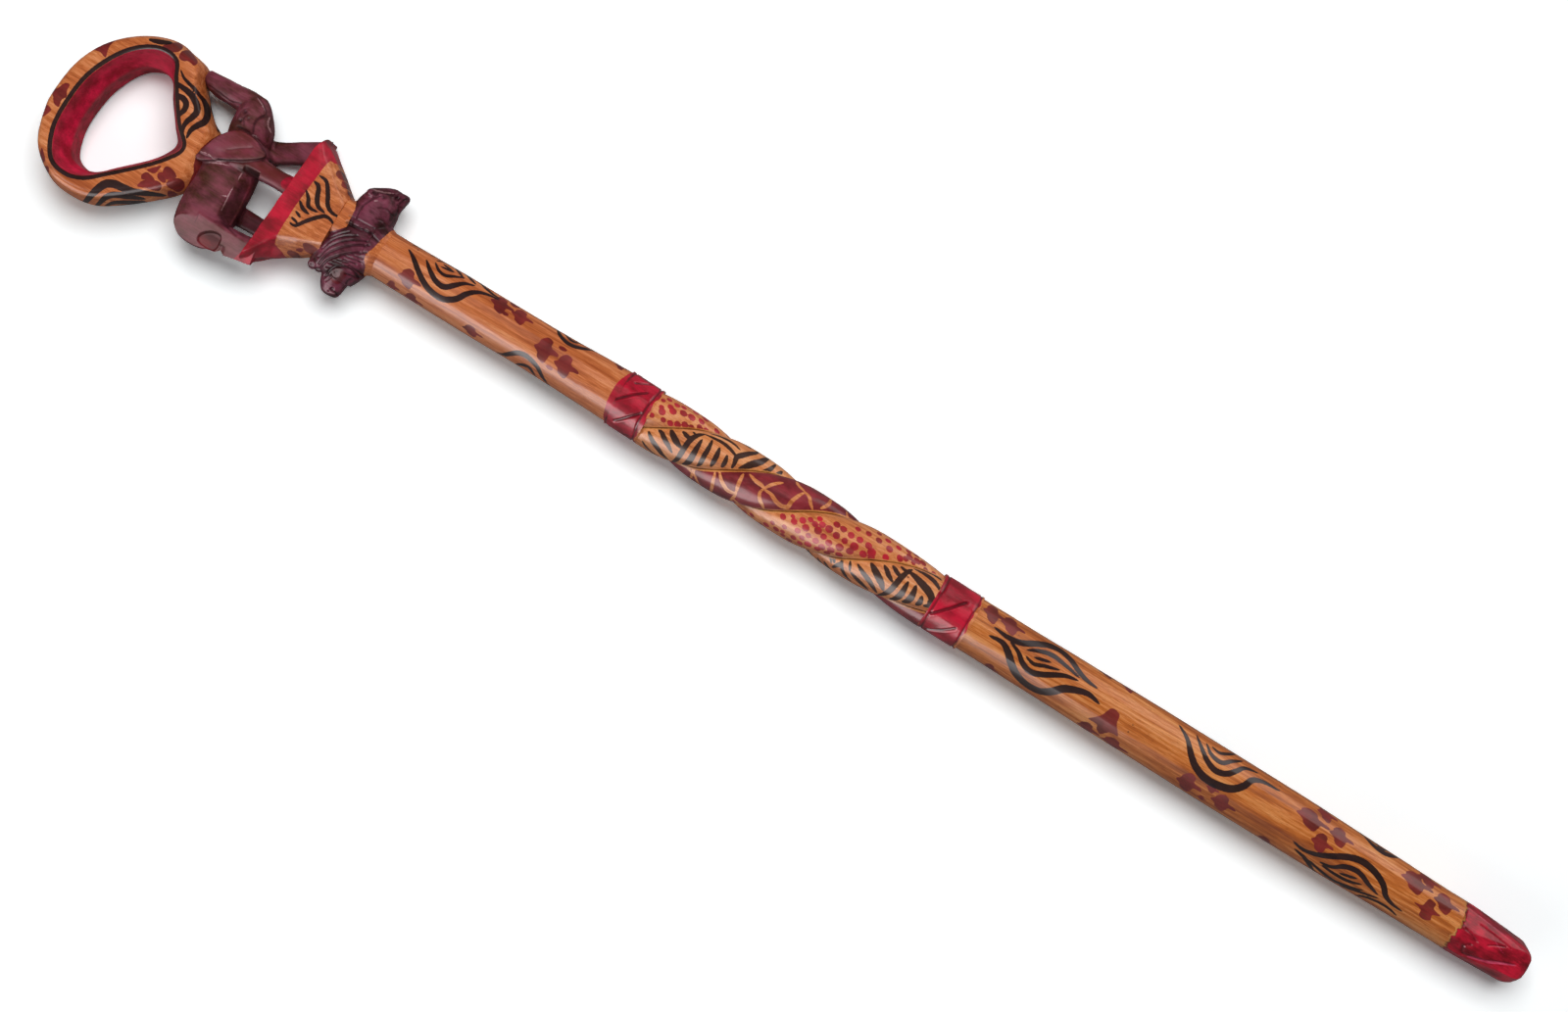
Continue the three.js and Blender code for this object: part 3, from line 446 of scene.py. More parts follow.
def paint_edge_group():
    """Where a coat of paint lies, from the distance to its edge, which the brush leaves uneven"""
    tree, given, out = shader_group(
        "paint_edge",
        [("Vector", "NodeSocketVector", None), ("Distance", "NodeSocketFloat", 1.0),
         ("Raggedness", "NodeSocketFloat", 0.5)],
        [("Mask", "NodeSocketFloat")],
    )
    rough = stretched_noise(tree, given["Vector"], (900, 900, 900), 3.0, 0.65)
    shift = calc(tree, "MULTIPLY", calc(tree, "SUBTRACT", rough, 0.5), given["Raggedness"])
    mask = ranged(tree, calc(tree, "ADD", given["Distance"], shift), -0.14, 0.14, 1.0, 0.0)
    tree.links.new(mask, out["Mask"])
    return tree


def brushed_paint_group():
    """Thin paint over wood: brush streaks, cloudy depth and the grain's relief below"""
    tree, given, out = shader_group(
        "brushed_paint",
        [("Vector", "NodeSocketVector", None), ("Dark", "NodeSocketColor", (0.1, 0, 0, 1)),
         ("Light", "NodeSocketColor", (0.4, 0, 0, 1))],
        [("Color", "NodeSocketColor"), ("Height", "NodeSocketFloat")],
    )
    vector = given["Vector"]
    cloud = stretched_noise(tree, vector, (65, 110, 110), 4.0, 0.6)
    streak = stretched_noise(tree, vector, (90, 1100, 1100), 3.0)
    tone = ranged(tree, weighed(tree, (cloud, 0.8), (streak, 0.2)), 0.34, 0.68)
    tree.links.new(mixed(tree, tone, given["Dark"], given["Light"]), out["Color"])
    tree.links.new(streak, out["Height"])
    return tree


wood_grain = wood_grain_group()
paint_edge = paint_edge_group()
brushed_paint = brushed_paint_group()
MAROON = (srgb(88, 14, 22), srgb(136, 36, 40))
CRIMSON = (srgb(126, 0, 26), srgb(204, 8, 52))
BRIGHT_CRIMSON = (srgb(140, 4, 36), srgb(222, 26, 74))
BLACK = (srgb(14, 8, 12), srgb(34, 20, 26))
OCHRE = (srgb(176, 104, 40), srgb(214, 150, 84))
TAN = (srgb(150, 68, 30), srgb(202, 112, 60), srgb(230, 152, 100))
FLUSH_RED, CUT_AND_SHADE_DARK = srgb(112, 22, 28), srgb(34, 12, 16)
GROUND_COVER, FLUSH_COVER, CUT_AND_SHADE_COVER = 0.92, 0.55, 0.7
PAINT_THICKNESS, GRAIN_RELIEF, GRAIN_UNDER_GROUND = 0.6, 0.5, 0.35
BUMP_STRENGTH, BUMP_DISTANCE = 0.35, 0.00012
LACQUER_IOR, WOOD_SPECULAR = 1.5, 0.12


def painted_wood(name, coats, ground=None, hollows=False, roughness=0.5, coat=1.0, tan=TAN, coat_roughness=0.25):
    """Lacquered wood with coats of paint: each has a layer's name, shades, raggedness and cover"""
    material = bpy.data.materials.new(name)
    material.use_nodes = True
    tree = material.node_tree
    tree.nodes.clear()
    place = add(tree, "ShaderNodeTexCoord").outputs["Object"]
    grain = in_group(tree, wood_grain, Vector=place, Dark=tan[0], Middle=tan[1], Light=tan[2])
    colour, height = grain["Color"], calc(tree, "MULTIPLY", grain["Height"], GRAIN_RELIEF)
    if ground:
        under = in_group(tree, brushed_paint, Vector=place, Dark=ground[0], Light=ground[1])
        colour = mixed(tree, GROUND_COVER, colour, under["Color"])
        flush = ranged(tree, stretched_noise(tree, place, (26, 42, 42), 2.0), 0.48, 0.7, 0.0, FLUSH_COVER)
        colour = mixed(tree, flush, colour, FLUSH_RED)
        height = calc(tree, "ADD", calc(tree, "MULTIPLY", height, GRAIN_UNDER_GROUND), under["Height"])
    for layer, shades, raggedness, cover in coats:
        distance = add(tree, "ShaderNodeAttribute", attribute_name=layer).outputs["Fac"]
        edge = in_group(tree, paint_edge, Vector=place, Distance=distance, Raggedness=raggedness)
        paint = in_group(tree, brushed_paint, Vector=place, Dark=shades[0], Light=shades[1])
        colour = mixed(tree, calc(tree, "MULTIPLY", edge["Mask"], cover), colour, paint["Color"])
        height = calc(tree, "ADD", height, calc(tree, "MULTIPLY", edge["Mask"], PAINT_THICKNESS))
    # The hollow layer darkens the paint in the cuts, and as painted shade where a piece marks the places under and
    # between its parts
    if hollows:
        hollow = add(tree, "ShaderNodeAttribute", attribute_name="hollow").outputs["Fac"]
        colour = mixed(tree, calc(tree, "MULTIPLY", hollow, CUT_AND_SHADE_COVER), colour, CUT_AND_SHADE_DARK)
    relief = {"Height": height, "Strength": BUMP_STRENGTH, "Distance": BUMP_DISTANCE}
    wear = stretched_noise(tree, place, (220, 420, 420), 3.0)
    shader = add(tree, "ShaderNodeBsdfPrincipled", {
        "Base Color": colour,
        "Roughness": ranged(tree, wear, 0.3, 0.7, roughness - 0.08, roughness + 0.1, smooth=False),
        "Coat Weight": coat, "Coat Roughness": coat_roughness, "Coat IOR": LACQUER_IOR,
        "Specular IOR Level": WOOD_SPECULAR, "Normal": add(tree, "ShaderNodeBump", relief).outputs[0],
    })
    add(tree, "ShaderNodeOutputMaterial", {"Surface": shader.outputs[0]})
    return material


def finish_piece(piece, material, nodes):
    """Gives a piece its material, hangs it under the root, and hides the solids it stands for"""
    piece.data.materials.clear()
    piece.data.materials.append(material)
    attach(piece, "root")
    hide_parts(*nodes)


rings = grip_rings()
grip = carved("grip", *skin(rings, looped=True), crease=40)
grip_points = points_of(grip.data)
flat_place = grip_points[:, [1, 0]]
painted_place = drawn_place(grip_points)
mouth_gap = spotted(flat_place, [mouth_line])
ridge_gap = spotted(flat_place, [ridge_line])
edge_gap = np.where(grip_points[:, 2] > 0, mouth_gap, ridge_gap)
across_section = np.tile(np.arange(rings.shape[1]), LOOP_STEPS)
wall = (across_section >= OPENING_FROM) & (across_section < OPENING_TO)
# Spots from the front and the back run over the arrises and close before they meet
end_gap = np.clip(SPOT_END_UP - abs(grip_points[:, 2] + SPOT_END_UP), 0, SPOT_END_UP)
closing = np.where(across_section < OUTER_ROWS, SPOT_CLOSING * end_gap, 0)
depth_from_face = GRIP_DEPTH / 2 - abs(grip_points[:, 2])
crimson_gap = np.where(wall, CRIMSON_LIP - depth_from_face, np.maximum(edge_gap, 0.05))
black_ring = np.where(wall, FAR, np.abs(edge_gap - BLACK_EDGE_WIDTH / 2) - BLACK_EDGE_WIDTH / 2)
spots = [curve_through(outline, closed=True, steps=5) for outline in grip_spots]
spot_gap = np.minimum(spotted(painted_place, spots) + closing, spotted(painted_place, [np.array(grip_foot)]))
note(
    grip,
    black=np.minimum(np.where(wall, FAR, brushed(painted_place, grip_strokes)), black_ring),
    maroon=np.where(wall, FAR, spot_gap),
    crimson=crimson_gap,
)
grip_lacquer = painted_wood("grip_lacquer", [
    ("maroon", MAROON, 0.7, 0.95), ("crimson", BRIGHT_CRIMSON, 0.4, 0.97), ("black", BLACK, 0.5, 0.97),
], coat=0.7)
finish_piece(grip, grip_lacquer, ["grip_loop"])

# The elephant stands under the grip, carved from the same wood with a knife and gouge, and painted
# maroon. Its trunk is raised to the loop, its ears lie flat on its neck, and a far foreleg strides out.
BODY_TOP, BODY_LENGTH, BODY_HEIGHT, BODY_DEPTH, RUMP = 85.5, 68, 33, 28, -41.5
HEAD_TOP, HEAD_LENGTH, HEAD_HEIGHT, HEAD_DEPTH, HEAD_FROM = 89, 30, 25, 24, 16.5
TRUNK_FROM, TRUNK_AT, TRUNK_LENGTH, TRUNK_WIDTH, TRUNK_DEPTH = 101.5, 39.5, 36, 14, 15
LEG_FROM, LEG_LENGTH, LEG_WIDTH, LEG_DEPTH, LEG_SPREAD = 103, 36, 12, 11, 9
HAUNCH_FROM, HAUNCH_AT, HAUNCH_LIFT, HAUNCH_LENGTH, HAUNCH_WIDTH, HAUNCH_DEPTH = 92, -33.5, 8.5, 30, 15, 12.5
EAR_PROUD, EAR_EASE = 2.4, 1.2
FORM_ROWS, FORM_STEPS, FORM_POWER, EAR_STEPS = 40, 56, 2.4, 90
ELEPHANT_GRAIN = 0.5

body_shares = [
    [0, 0.43, 0.60, 0.08], [0.02, 0.29, 0.77, 0.27], [0.08, 0.15, 0.92, 0.39], [0.17, 0.08, 0.99, 0.46],
    [0.32, 0.05, 1, 0.5], [0.49, 0.05, 0.99, 0.5], [0.66, 0, 0.97, 0.485], [0.81, 0.06, 0.91, 0.43],
    [0.93, 0.17, 0.83, 0.35], [1, 0.26, 0.75, 0.28],
]
head_shares = [
    [0, 0.12, 0.88, 0.3], [0.18, 0.03, 0.97, 0.42], [0.38, 0, 0.96, 0.49], [0.58, 0, 0.87, 0.5],
    [0.78, 0.03, 0.69, 0.43], [0.93, 0.12, 0.53, 0.3], [1, 0.24, 0.42, 0.12],
]
trunk_shares = [
    [-0.02, 0, 0.2, 0.2], [0.02, 0, 0.4, 0.36], [0.1, 0, 0.5, 0.48], [0.25, 0.02, 0.5, 0.5],
    [0.5, 0.02, 0.45, 0.47], [0.75, 0, 0.43, 0.43], [0.93, 0.05, 0.34, 0.39], [1, 0.09, 0.27, 0.33],
]
fore_leg_shares = [
    [0, 0, 0.62, 0.55], [0.35, 0, 0.5, 0.5], [0.7, 0, 0.44, 0.47], [0.9, 0, 0.46, 0.5], [1, 0, 0.5, 0.52],
]
stride_leg_shares = [
    [0, 0, 0.62, 0.55], [0.3, 0.22, 0.6, 0.5], [0.6, 0.75, 0.6, 0.48], [0.85, 1.18, 0.62, 0.5],
    [1, 1.44, 0.64, 0.52],
]
hind_leg_shares = [
    [0, 0.16, 0.66, 0.55], [0.3, 0.12, 0.68, 0.52], [0.55, 0.18, 0.66, 0.48], [0.8, 0.28, 0.62, 0.46],
    [1, 0.36, 0.6, 0.48],
]
haunch_shares = [
    [0, 0.1, 0.25, 0.2], [0.15, 0.02, 0.46, 0.42], [0.45, 0, 0.5, 0.5], [0.75, 0.04, 0.42, 0.48],
    [1, 0.1, 0.34, 0.4],
]
ear_points = [
    (-0.5, 88), (0.5, 86), (9, 88), (18, 92), (24, 98), (25.5, 103), (25, 109), (22, 116.5), (19.5, 118.5),
    (16.5, 116), (11.5, 109), (6, 99.5),
]


def between_rows(shares, steps):
    """Rows of a table with smooth rows worked out between them"""
    rows = np.asarray(shares, float)
    place = np.linspace(0, len(rows) - 1, steps + 1)
    at = np.minimum(place.astype(int), len(rows) - 2)
    t = (place - at)[:, None]
    a, b, c, d = rows[np.maximum(at - 1, 0)], rows[at], rows[at + 1], rows[np.minimum(at + 2, len(rows) - 1)]
    leave, arrive = (c - a) / 2, (d - b) / 2
    bend = 3 * (c - b) - 2 * leave - arrive
    return b + t * (leave + t * (bend + t * (leave + arrive - 2 * (c - b))))


def oval(power):
    """Points round an oval, squarer for a higher power than 2"""
    angle = np.linspace(0, 2 * np.pi, FORM_STEPS, endpoint=False)
    c, s = np.cos(angle), np.sin(angle)
    return np.sign(c) * abs(c) ** (2 / power), np.sign(s) * abs(s) ** (2 / power)


def sideways_form(start, top, length, height, depth, shares, lift=0):
    """Form drawn out across the cane, from shares: place, upper edge, lower edge, half depth"""
    u, v = oval(FORM_POWER)
    rings = [
        np.stack([
            top + height * (upper + lower) / 2 + height * (lower - upper) / 2 * u,
            np.full_like(u, start + length * along),
            lift + depth * half * v,
        ], -1)
        for along, upper, lower, half in between_rows(shares, FORM_ROWS)
    ]
    return skin(np.array(rings))


def standing_form(start, at, lift, length, width, depth, shares, power=FORM_POWER):
    """Form drawn out down the cane, from shares: place, sideways shift, half width, half depth"""
    u, v = oval(power)
    rings = [
        np.stack([
            np.full_like(u, start + length * along),
            at + width * shift + width * half * u,
            lift + depth * deep * v,
        ], -1)
        for along, shift, half, deep in between_rows(shares, FORM_ROWS)
    ]
    return skin(np.array(rings))


def slab_form(outline, low, high):
    """Slab between two heights above the cane's middle, with its upper edge eased"""
    ease = EAR_EASE
    rim = evenly(curve_through(outline, closed=True), EAR_STEPS)[:, [1, 0]]
    rim_middle = rim.mean(0)
    reach = np.linalg.norm(rim - rim_middle, axis=1, keepdims=True)
    layers = []
    for z, inward in ((low, 0), (high - ease, 0), (high - ease * 0.3, ease * 0.3), (high, ease)):
        ring = rim_middle + (rim - rim_middle) * (1 - inward / reach)
        layers.append(np.column_stack([ring, np.full(len(ring), z)]))
    return skin(np.array(layers))


def merged_forms(name, forms, grain, smoothing):
    """One piece of wood from overlapping forms: their common skin, with the joints softened"""
    points, faces, start = [], [], 0
    for form_points, form_faces in forms:
        mesh = bpy.data.meshes.new("form")
        mesh.from_pydata(form_points.tolist(), [], form_faces)
        if signed_volume(mesh) < 0:
            form_faces = [face[::-1] for face in form_faces]
        bpy.data.meshes.remove(mesh)
        points.append(form_points)
        faces += [[corner + start for corner in face] for face in form_faces]
        start += len(form_points)
    rough = carved(name + "_forms", np.vstack(points), faces)
    remesh = rough.modifiers.new("skin", "REMESH")
    remesh.mode = "VOXEL"
    remesh.voxel_size = grain / PER_METRE
    ease = rough.modifiers.new("ease", "SMOOTH")
    ease.factor = 0.5
    ease.iterations = smoothing
    skinned = rough.evaluated_get(bpy.context.evaluated_depsgraph_get())
    mesh = bpy.data.meshes.new_from_object(skinned)
    mesh.name = name
    bpy.data.objects.remove(rough)
    return shown(name, mesh, 180)


def move_points(piece, points):
    """Puts a piece's points where they are given in millimetres"""
    piece.data.vertices.foreach_set("co", ((points + CANE_CORNER) / PER_METRE).ravel())
    piece.data.update()


HAIRLINE = 0.02


def gap_to_line(place, line, around=None):
    """Millimetres from each place to one drawn line"""
    return brushed(place, [(HAIRLINE, line)], around)


def v_cut(gap, width, deep):
    """Depth of a V cut at so many millimetres from its line"""
    return deep * np.clip(1 - gap / (width / 2), 0, 1)


def knife_cuts(places, normals, cuts, seen):
    """Depth in millimetres of V cuts along drawn lines, on the faces that are seen from one side"""
    depth = np.zeros(len(places))
    chosen = normals[:, 2] * seen > 0.1
    for deep, width, points in cuts:
        gap = gap_to_line(places[chosen][:, [1, 0]], points)
        depth[chosen] = np.maximum(depth[chosen], v_cut(gap, width, deep))
    return depth


PIT_FLAT = 1.3


def carved_depth(places, normals, drawn_cuts, pits):
    """Depth in millimetres of the cuts and pits that are drawn once and carved on both sides"""
    depth = np.maximum(*(knife_cuts(places, normals, drawn_cuts, side) for side in (1, -1)))
    for across, down, radius, deep in pits:
        gap = np.hypot(places[:, 1] - across, places[:, 0] - down)
        pit = deep * np.clip(PIT_FLAT - gap / radius, 0, 1) * (abs(normals[:, 2]) > 0.2)
        depth = np.maximum(depth, pit)
    return depth


GOUGE_TRIES, GOUGE_REACH = 12, 0.75


def gouge_marks(points, seed, spacing, deep):
    """Shallow scoops left by the gouge, one round each of many seeded places on the surface"""
    rng = np.random.default_rng(seed)
    spots = points[rng.choice(len(points), len(points) // GOUGE_TRIES, replace=False)]
    kept = []
    for spot in spots:
        if all(np.sum((spot - other) ** 2) > spacing**2 for other in kept):
            kept.append(spot)
    nearest = np.full(len(points), np.inf)
    for spot in kept:
        nearest = np.minimum(nearest, np.sum((points - spot) ** 2, axis=1))
    return deep * np.clip(1 - nearest / (GOUGE_REACH * spacing) ** 2, 0, 1)


legs = [
    (12.5, 1, fore_leg_shares), (20.5, -1, stride_leg_shares), (-32, 1, hind_leg_shares),
    (-15, -1, fore_leg_shares),
]


def elephant_forms():
    """Overlapping forms of the body, head, trunk, legs, near haunch and ears"""
    ear_up = BODY_DEPTH / 2 + EAR_PROUD
    return [
        sideways_form(RUMP, BODY_TOP, BODY_LENGTH, BODY_HEIGHT, BODY_DEPTH, body_shares),
        sideways_form(HEAD_FROM, HEAD_TOP, HEAD_LENGTH, HEAD_HEIGHT, HEAD_DEPTH, head_shares),
        standing_form(TRUNK_FROM, TRUNK_AT, 0, -TRUNK_LENGTH, TRUNK_WIDTH, TRUNK_DEPTH, trunk_shares),
        *(
            standing_form(LEG_FROM, at, side * LEG_SPREAD, LEG_LENGTH, LEG_WIDTH, LEG_DEPTH, shares, power=3)
            for at, side, shares in legs
        ),
        standing_form(
            HAUNCH_FROM, HAUNCH_AT, HAUNCH_LIFT, HAUNCH_LENGTH, HAUNCH_WIDTH, HAUNCH_DEPTH, haunch_shares,
        ),
        slab_form(ear_points, 0, ear_up),
        slab_form(ear_points, -ear_up, 0),
    ]


elephant_cuts = [
    (0.7, 1.3, [(3, 86), (3.5, 91), (5.5, 98.5), (8, 104), (10, 108.5), (14, 114), (17.5, 118.5)]),
    (0.9, 1.8, [(25.5, 96), (26, 102), (25.5, 109), (22, 116)]),
    (0.8, 1.4, [(28, 98.5), (31, 96.5), (34.5, 97.5)]),
    (0.6, 1.2, [(28, 94), (31, 92.5), (35, 93.5), (37.5, 96)]),
    (1.0, 1.8, [(26.5, 105), (30, 103.6), (34, 103.4), (38, 105)]),
    (0.7, 1.4, [(45.5, 95), (44, 100), (41, 104), (38.5, 106)]),
    (0.7, 1.4, [(26, 115), (30, 113.5), (36, 110), (42, 107)]),
    (0.6, 1.3, [(36.5, 70), (36, 77), (35, 84), (37, 90)]),
    (0.4, 1.2, [(12, 99), (16, 104), (20, 110)]),
    (0.6, 1.3, [(-20, 112), (-22.5, 118), (-24.5, 126)]),
]
eye_pits = [(29, 95.5, 1.2, 1.1), (34.5, 95.2, 1.6, 1.0), (32, 99, 1.0, 0.6)]
ear_fold = [(18, 108), (12.5, 101.5), (7.7, 95.5)]
haunch_oval = [(-38, 108), (-35, 107.3), (-31, 110.5), (-28.5, 116), (-29.2, 118.7), (-37.8, 118.7), (-39, 113)]
# Pale pink lines along ridges and edges: worn paint, and a painted highlight where light catches them
elephant_worn_and_lit_lines = [
    (0.4, [(4, 87), (5, 92), (4, 96), (6.5, 101.5)]),
    (0.4, [(-10.5, 107.5), (-9, 111.3)]),
    (0.4, [(-19, 112), (-10, 111.3), (-2, 111)]),
    (0.4, [(1, 111.2), (6, 111)]),
    (0.5, [(32, 111.5), (35, 108.5), (39, 106.5)]),
    (0.4, [(45, 95), (43, 100), (40.5, 104)]),
    (0.4, [(1, 93), (4, 99), (5.5, 104)]),
    (0.4, [(26.2, 105), (26.5, 110)]),
]
crimson_foot = [(9.5, 142), (9.5, 134), (11.5, 132), (14.5, 132.5), (18, 135), (18.5, 142)]
crimson_heel = [(-28.5, 133), (-36, 130), (-46, 128), (-46, 144), (-24, 144), (-24, 134)]

FOLD_DEPTH, FOLD_WIDTH = 0.9, 2.6

elephant = merged_forms("elephant", elephant_forms(), ELEPHANT_GRAIN, smoothing=5)
points, normals = points_of(elephant.data), normals_of(elephant.data)
down, across, up = points.T
place = points[:, [1, 0]]
flatness = abs(normals[:, 2])
cuts = carved_depth(points, normals, elephant_cuts, eye_pits)
fold = FOLD_DEPTH * np.exp(-((gap_to_line(place, ear_fold) / FOLD_WIDTH) ** 2)) * (flatness > 0.3)
dents = gouge_marks(points, seed=5, spacing=9, deep=0.22) + fold
moved = points - normals * (cuts + dents)[:, None]

# The belly is cut back below a soft arris. The haunch is planed off towards its edge, scooped out
# at the tail and notched at the knee.
BELLY_ARRIS, BELLY_TO, BELLY_ARRIS_UP, BELLY_SLOPE, BELLY_DEEPEST = 110.8, 120, 12.6, 1.15, 9
HAUNCH_EDGE, HAUNCH_UP, HAUNCH_SLOPE, HAUNCH_ROUNDING = -22, 14.2, 0.7, 11
SCOOP_FROM, SCOOP_SLOPE, SCOOP_LEAST, SCOOP_MOST = -39, 0.3, 0.5, 3
KNEE_NOTCH, NOTCH_HALF, NOTCH_DEPTH = 121.3, 2.6, 2.0
under_belly = smoothstep(-24, -19, across) * smoothstep(11, 7, across) * (down > BELLY_ARRIS) * (down < BELLY_TO)
belly_plane = BELLY_ARRIS_UP - BELLY_SLOPE * (down - BELLY_ARRIS)
belly_depth = np.clip(abs(moved[:, 2]) - belly_plane, 0, BELLY_DEEPEST) * under_belly
moved[:, 2] -= np.sign(moved[:, 2]) * belly_depth
past_edge = np.maximum(HAUNCH_EDGE - across, 0)
side_plane = HAUNCH_UP - HAUNCH_SLOPE * past_edge**2 / (past_edge + HAUNCH_ROUNDING)
side_depth = np.where(across < HAUNCH_EDGE, np.maximum(abs(moved[:, 2]) - side_plane, 0), 0)
oval_gap = spotted(place, [curve_through(haunch_oval, closed=True)])
scoop = np.clip(SCOOP_LEAST + SCOOP_SLOPE * (across - SCOOP_FROM), SCOOP_LEAST, SCOOP_MOST)
scoop *= smoothstep(0.3, -0.7, oval_gap) * (normals[:, 2] > 0.2)
moved[:, 2] -= np.sign(moved[:, 2]) * side_depth + scoop
notch = NOTCH_DEPTH * np.clip(1 - abs(down - KNEE_NOTCH) / NOTCH_HALF, 0, 1)
moved[:, 1] += notch * smoothstep(-32.5, -35.5, across)
move_points(elephant, moved)

# The paint is darkened in the cuts and pits, and painted shade darkens it under the belly, between the legs, on the
# hind legs' inner faces and beside the ears
shade_between_legs = (across > -22) & (across < -6) & (down > 118) & (down < 133) & (up < 3)
shaded_inner_face = smoothstep(0.3, 0.7, normals[:, 1]) * (across < -15) * (down > 112)
shade_beside_ears = smoothstep(0.8, 0.5, flatness) * (up > BODY_DEPTH / 2 - 0.5)
darkened = cuts / 0.9
for darkness, shade in (
    (0.8, smoothstep(0, 1.5, belly_depth)), (0.85, shade_between_legs), (0.45, shaded_inner_face), (0.7, shade_beside_ears),
):
    darkened = darkened + darkness * shade
near = up > 0
on_near = (normals[:, 2] > 0.1) & near
foot_gap, heel_gap = (spotted(place, [np.array(outline)]) for outline in (crimson_foot, crimson_heel))
note(
    elephant,
    hollow=np.clip(darkened, 0, 1),
    bare=np.where(on_near, brushed(place, elephant_worn_and_lit_lines), FAR),
    tail=np.where(on_near, np.minimum(oval_gap + 0.3, FAR), FAR),
    crimson=np.minimum(np.where(near, foot_gap, FAR), heel_gap),
)
CARVED_PAINT = (srgb(22, 2, 9), srgb(124, 55, 78))
REDDISH = (srgb(70, 6, 12), srgb(118, 20, 26))
# Pale pink of the worn and lit lines, worn paint and painted highlight together
PALE_WEAR_AND_HIGHLIGHT = (srgb(176, 122, 124), srgb(222, 186, 188))
elephant_paint = painted_wood("elephant_paint", [
    ("tail", REDDISH, 0.5, 0.97), ("crimson", CRIMSON, 0.6, 0.97), ("bare", PALE_WEAR_AND_HIGHLIGHT, 1.0, 0.6),
], ground=CARVED_PAINT, hollows=True, coat=0.38, coat_roughness=0.42)
finish_piece(
    elephant, elephant_paint,
    ["elephant_body", "elephant_head", "elephant_trunk", "elephant_ear_near", "elephant_ear_far",
     "elephant_foreleg_near", "elephant_foreleg_far", "elephant_hind_leg_near", "elephant_hind_leg_far"],
)

# The plinth is a tapering block with its corners planed off. Its top, crimson, slopes down under the
# elephant's chin, and its body is tan with zebra strokes running down to the heads below it.
PLINTH_STEPS = 230
TOP_ROWS, BODY_ROWS, ROUNDED_ROWS = 18, 34, 8
CHIN_CORNER, CHIN_RUN, CHIN_ROUNDING = 37, 9, 2.6
plinth_levels = [
    {"at": 133, "slope": 6, "axis": 5, "width": 79, "depth": 33, "rump": 2, "chin": 2},
    {"at": 145, "slope": 0, "axis": 7.6, "width": 67, "depth": 33, "rump": 12, "chin": 6},
    {"at": 167, "slope": 0, "axis": 6.3, "width": 35, "depth": 27, "rump": 6.3, "chin": 6},
]


def plinth_rim(at, slope, axis, width, depth, rump, chin):
    """Corners of the block at one level, planed off by so much on the rump's and the chin's side"""
    half_across, half_up = width / 2, depth / 2
    corners = np.array([
        (half_across, half_up - chin), (half_across - chin, half_up),
        (rump - half_across, half_up), (-half_across, half_up - rump),
        (-half_across, rump - half_up), (rump - half_across, -half_up),
        (half_across - chin, -half_up), (half_across, chin - half_up),
    ])
    return np.column_stack([at + slope * (0.5 + corners[:, 0] / width), axis + corners[:, 0], corners[:, 1]])


def plinth_rings():
    """Rings down the block, from one level's corners to the next"""
    rims = [plinth_rim(**level) for level in plinth_levels]
    share = np.concatenate([np.linspace(0, 1, TOP_ROWS, endpoint=False), np.linspace(1, 2, BODY_ROWS)])
    rings = []
    for step in share:
        upper = min(int(step), 1)
        rim = rims[upper] * (1 - step + upper) + rims[upper + 1] * (step - upper)
        rings.append(evenly(rim, PLINTH_STEPS))
    rings = np.array(rings)
    # The corner under the chin is rounded off towards the top
    rounding = smoothstep(CHIN_CORNER, CHIN_CORNER + CHIN_RUN, rings[0, :, 1])
    fading = (1 - np.arange(ROUNDED_ROWS) / ROUNDED_ROWS)[:, None] ** 2
    rings[:ROUNDED_ROWS, :, 0] += CHIN_ROUNDING * rounding * fading
    return rings


def eased_edges(rings, passes):
    """Corners of the rings rounded over, as sanding leaves them"""
    for _ in range(passes):
        rings = (np.roll(rings, 1, 1) + 2 * rings + np.roll(rings, -1, 1)) / 4
    rings[1:-1] = (rings[:-2] + 2 * rings[1:-1] + rings[2:]) / 4
    return rings


plinth_strokes = [
    (1.7, [(-4, 147), (-4, 150.5), (0, 153.5), (5, 157.5), (8.5, 161.5), (8.5, 164.5), (6.5, 168.5)]),
    (1.2, [(-1, 146.5), (-2, 151)]),
    (1.2, [(3, 147), (1.2, 151)]),
    (1.6, [(9, 146), (6, 149.5), (5, 154)]),
    (1.7, [(15.5, 146), (12, 149.5), (8.5, 151.5), (8.3, 157.5)]),
    (2.0, [(21.5, 147), (20.5, 150.5), (14, 153.5), (11, 156), (10, 160.5)]),
    (1.8, [(25.5, 147.5), (25, 152.5), (20, 156.5), (14, 160), (12, 163.5), (12, 169.5)]),
]
plinth_spots = [
    [(-19, 152.5), (-17, 153), (-16, 158), (-17.5, 158.5), (-19.5, 155)],
    [(-15, 156), (-13, 157.5), (-12.5, 159.5), (-14.5, 159)],
    [(-10.5, 158.5), (-8.8, 160), (-9, 166.5), (-12.5, 165), (-12.8, 160.5)],
    [(33.5, 154), (30.5, 154.5), (30, 158.5), (34, 159)],
    [(29.5, 159), (27, 160), (27.5, 163), (31, 162)],
    [(26.5, 163.5), (24.8, 164.5), (25.2, 167), (28, 167)],
]
crimson_top = [
    (60, 120), (60, 153), (37.5, 153.5), (35.5, 151), (35.5, 148.6), (33, 148.3), (20, 147), (5, 145.6),
    (-8, 145.2), (-18, 145.5), (-19, 148), (-21, 152), (-26, 154), (-50, 156), (-50, 120),
]

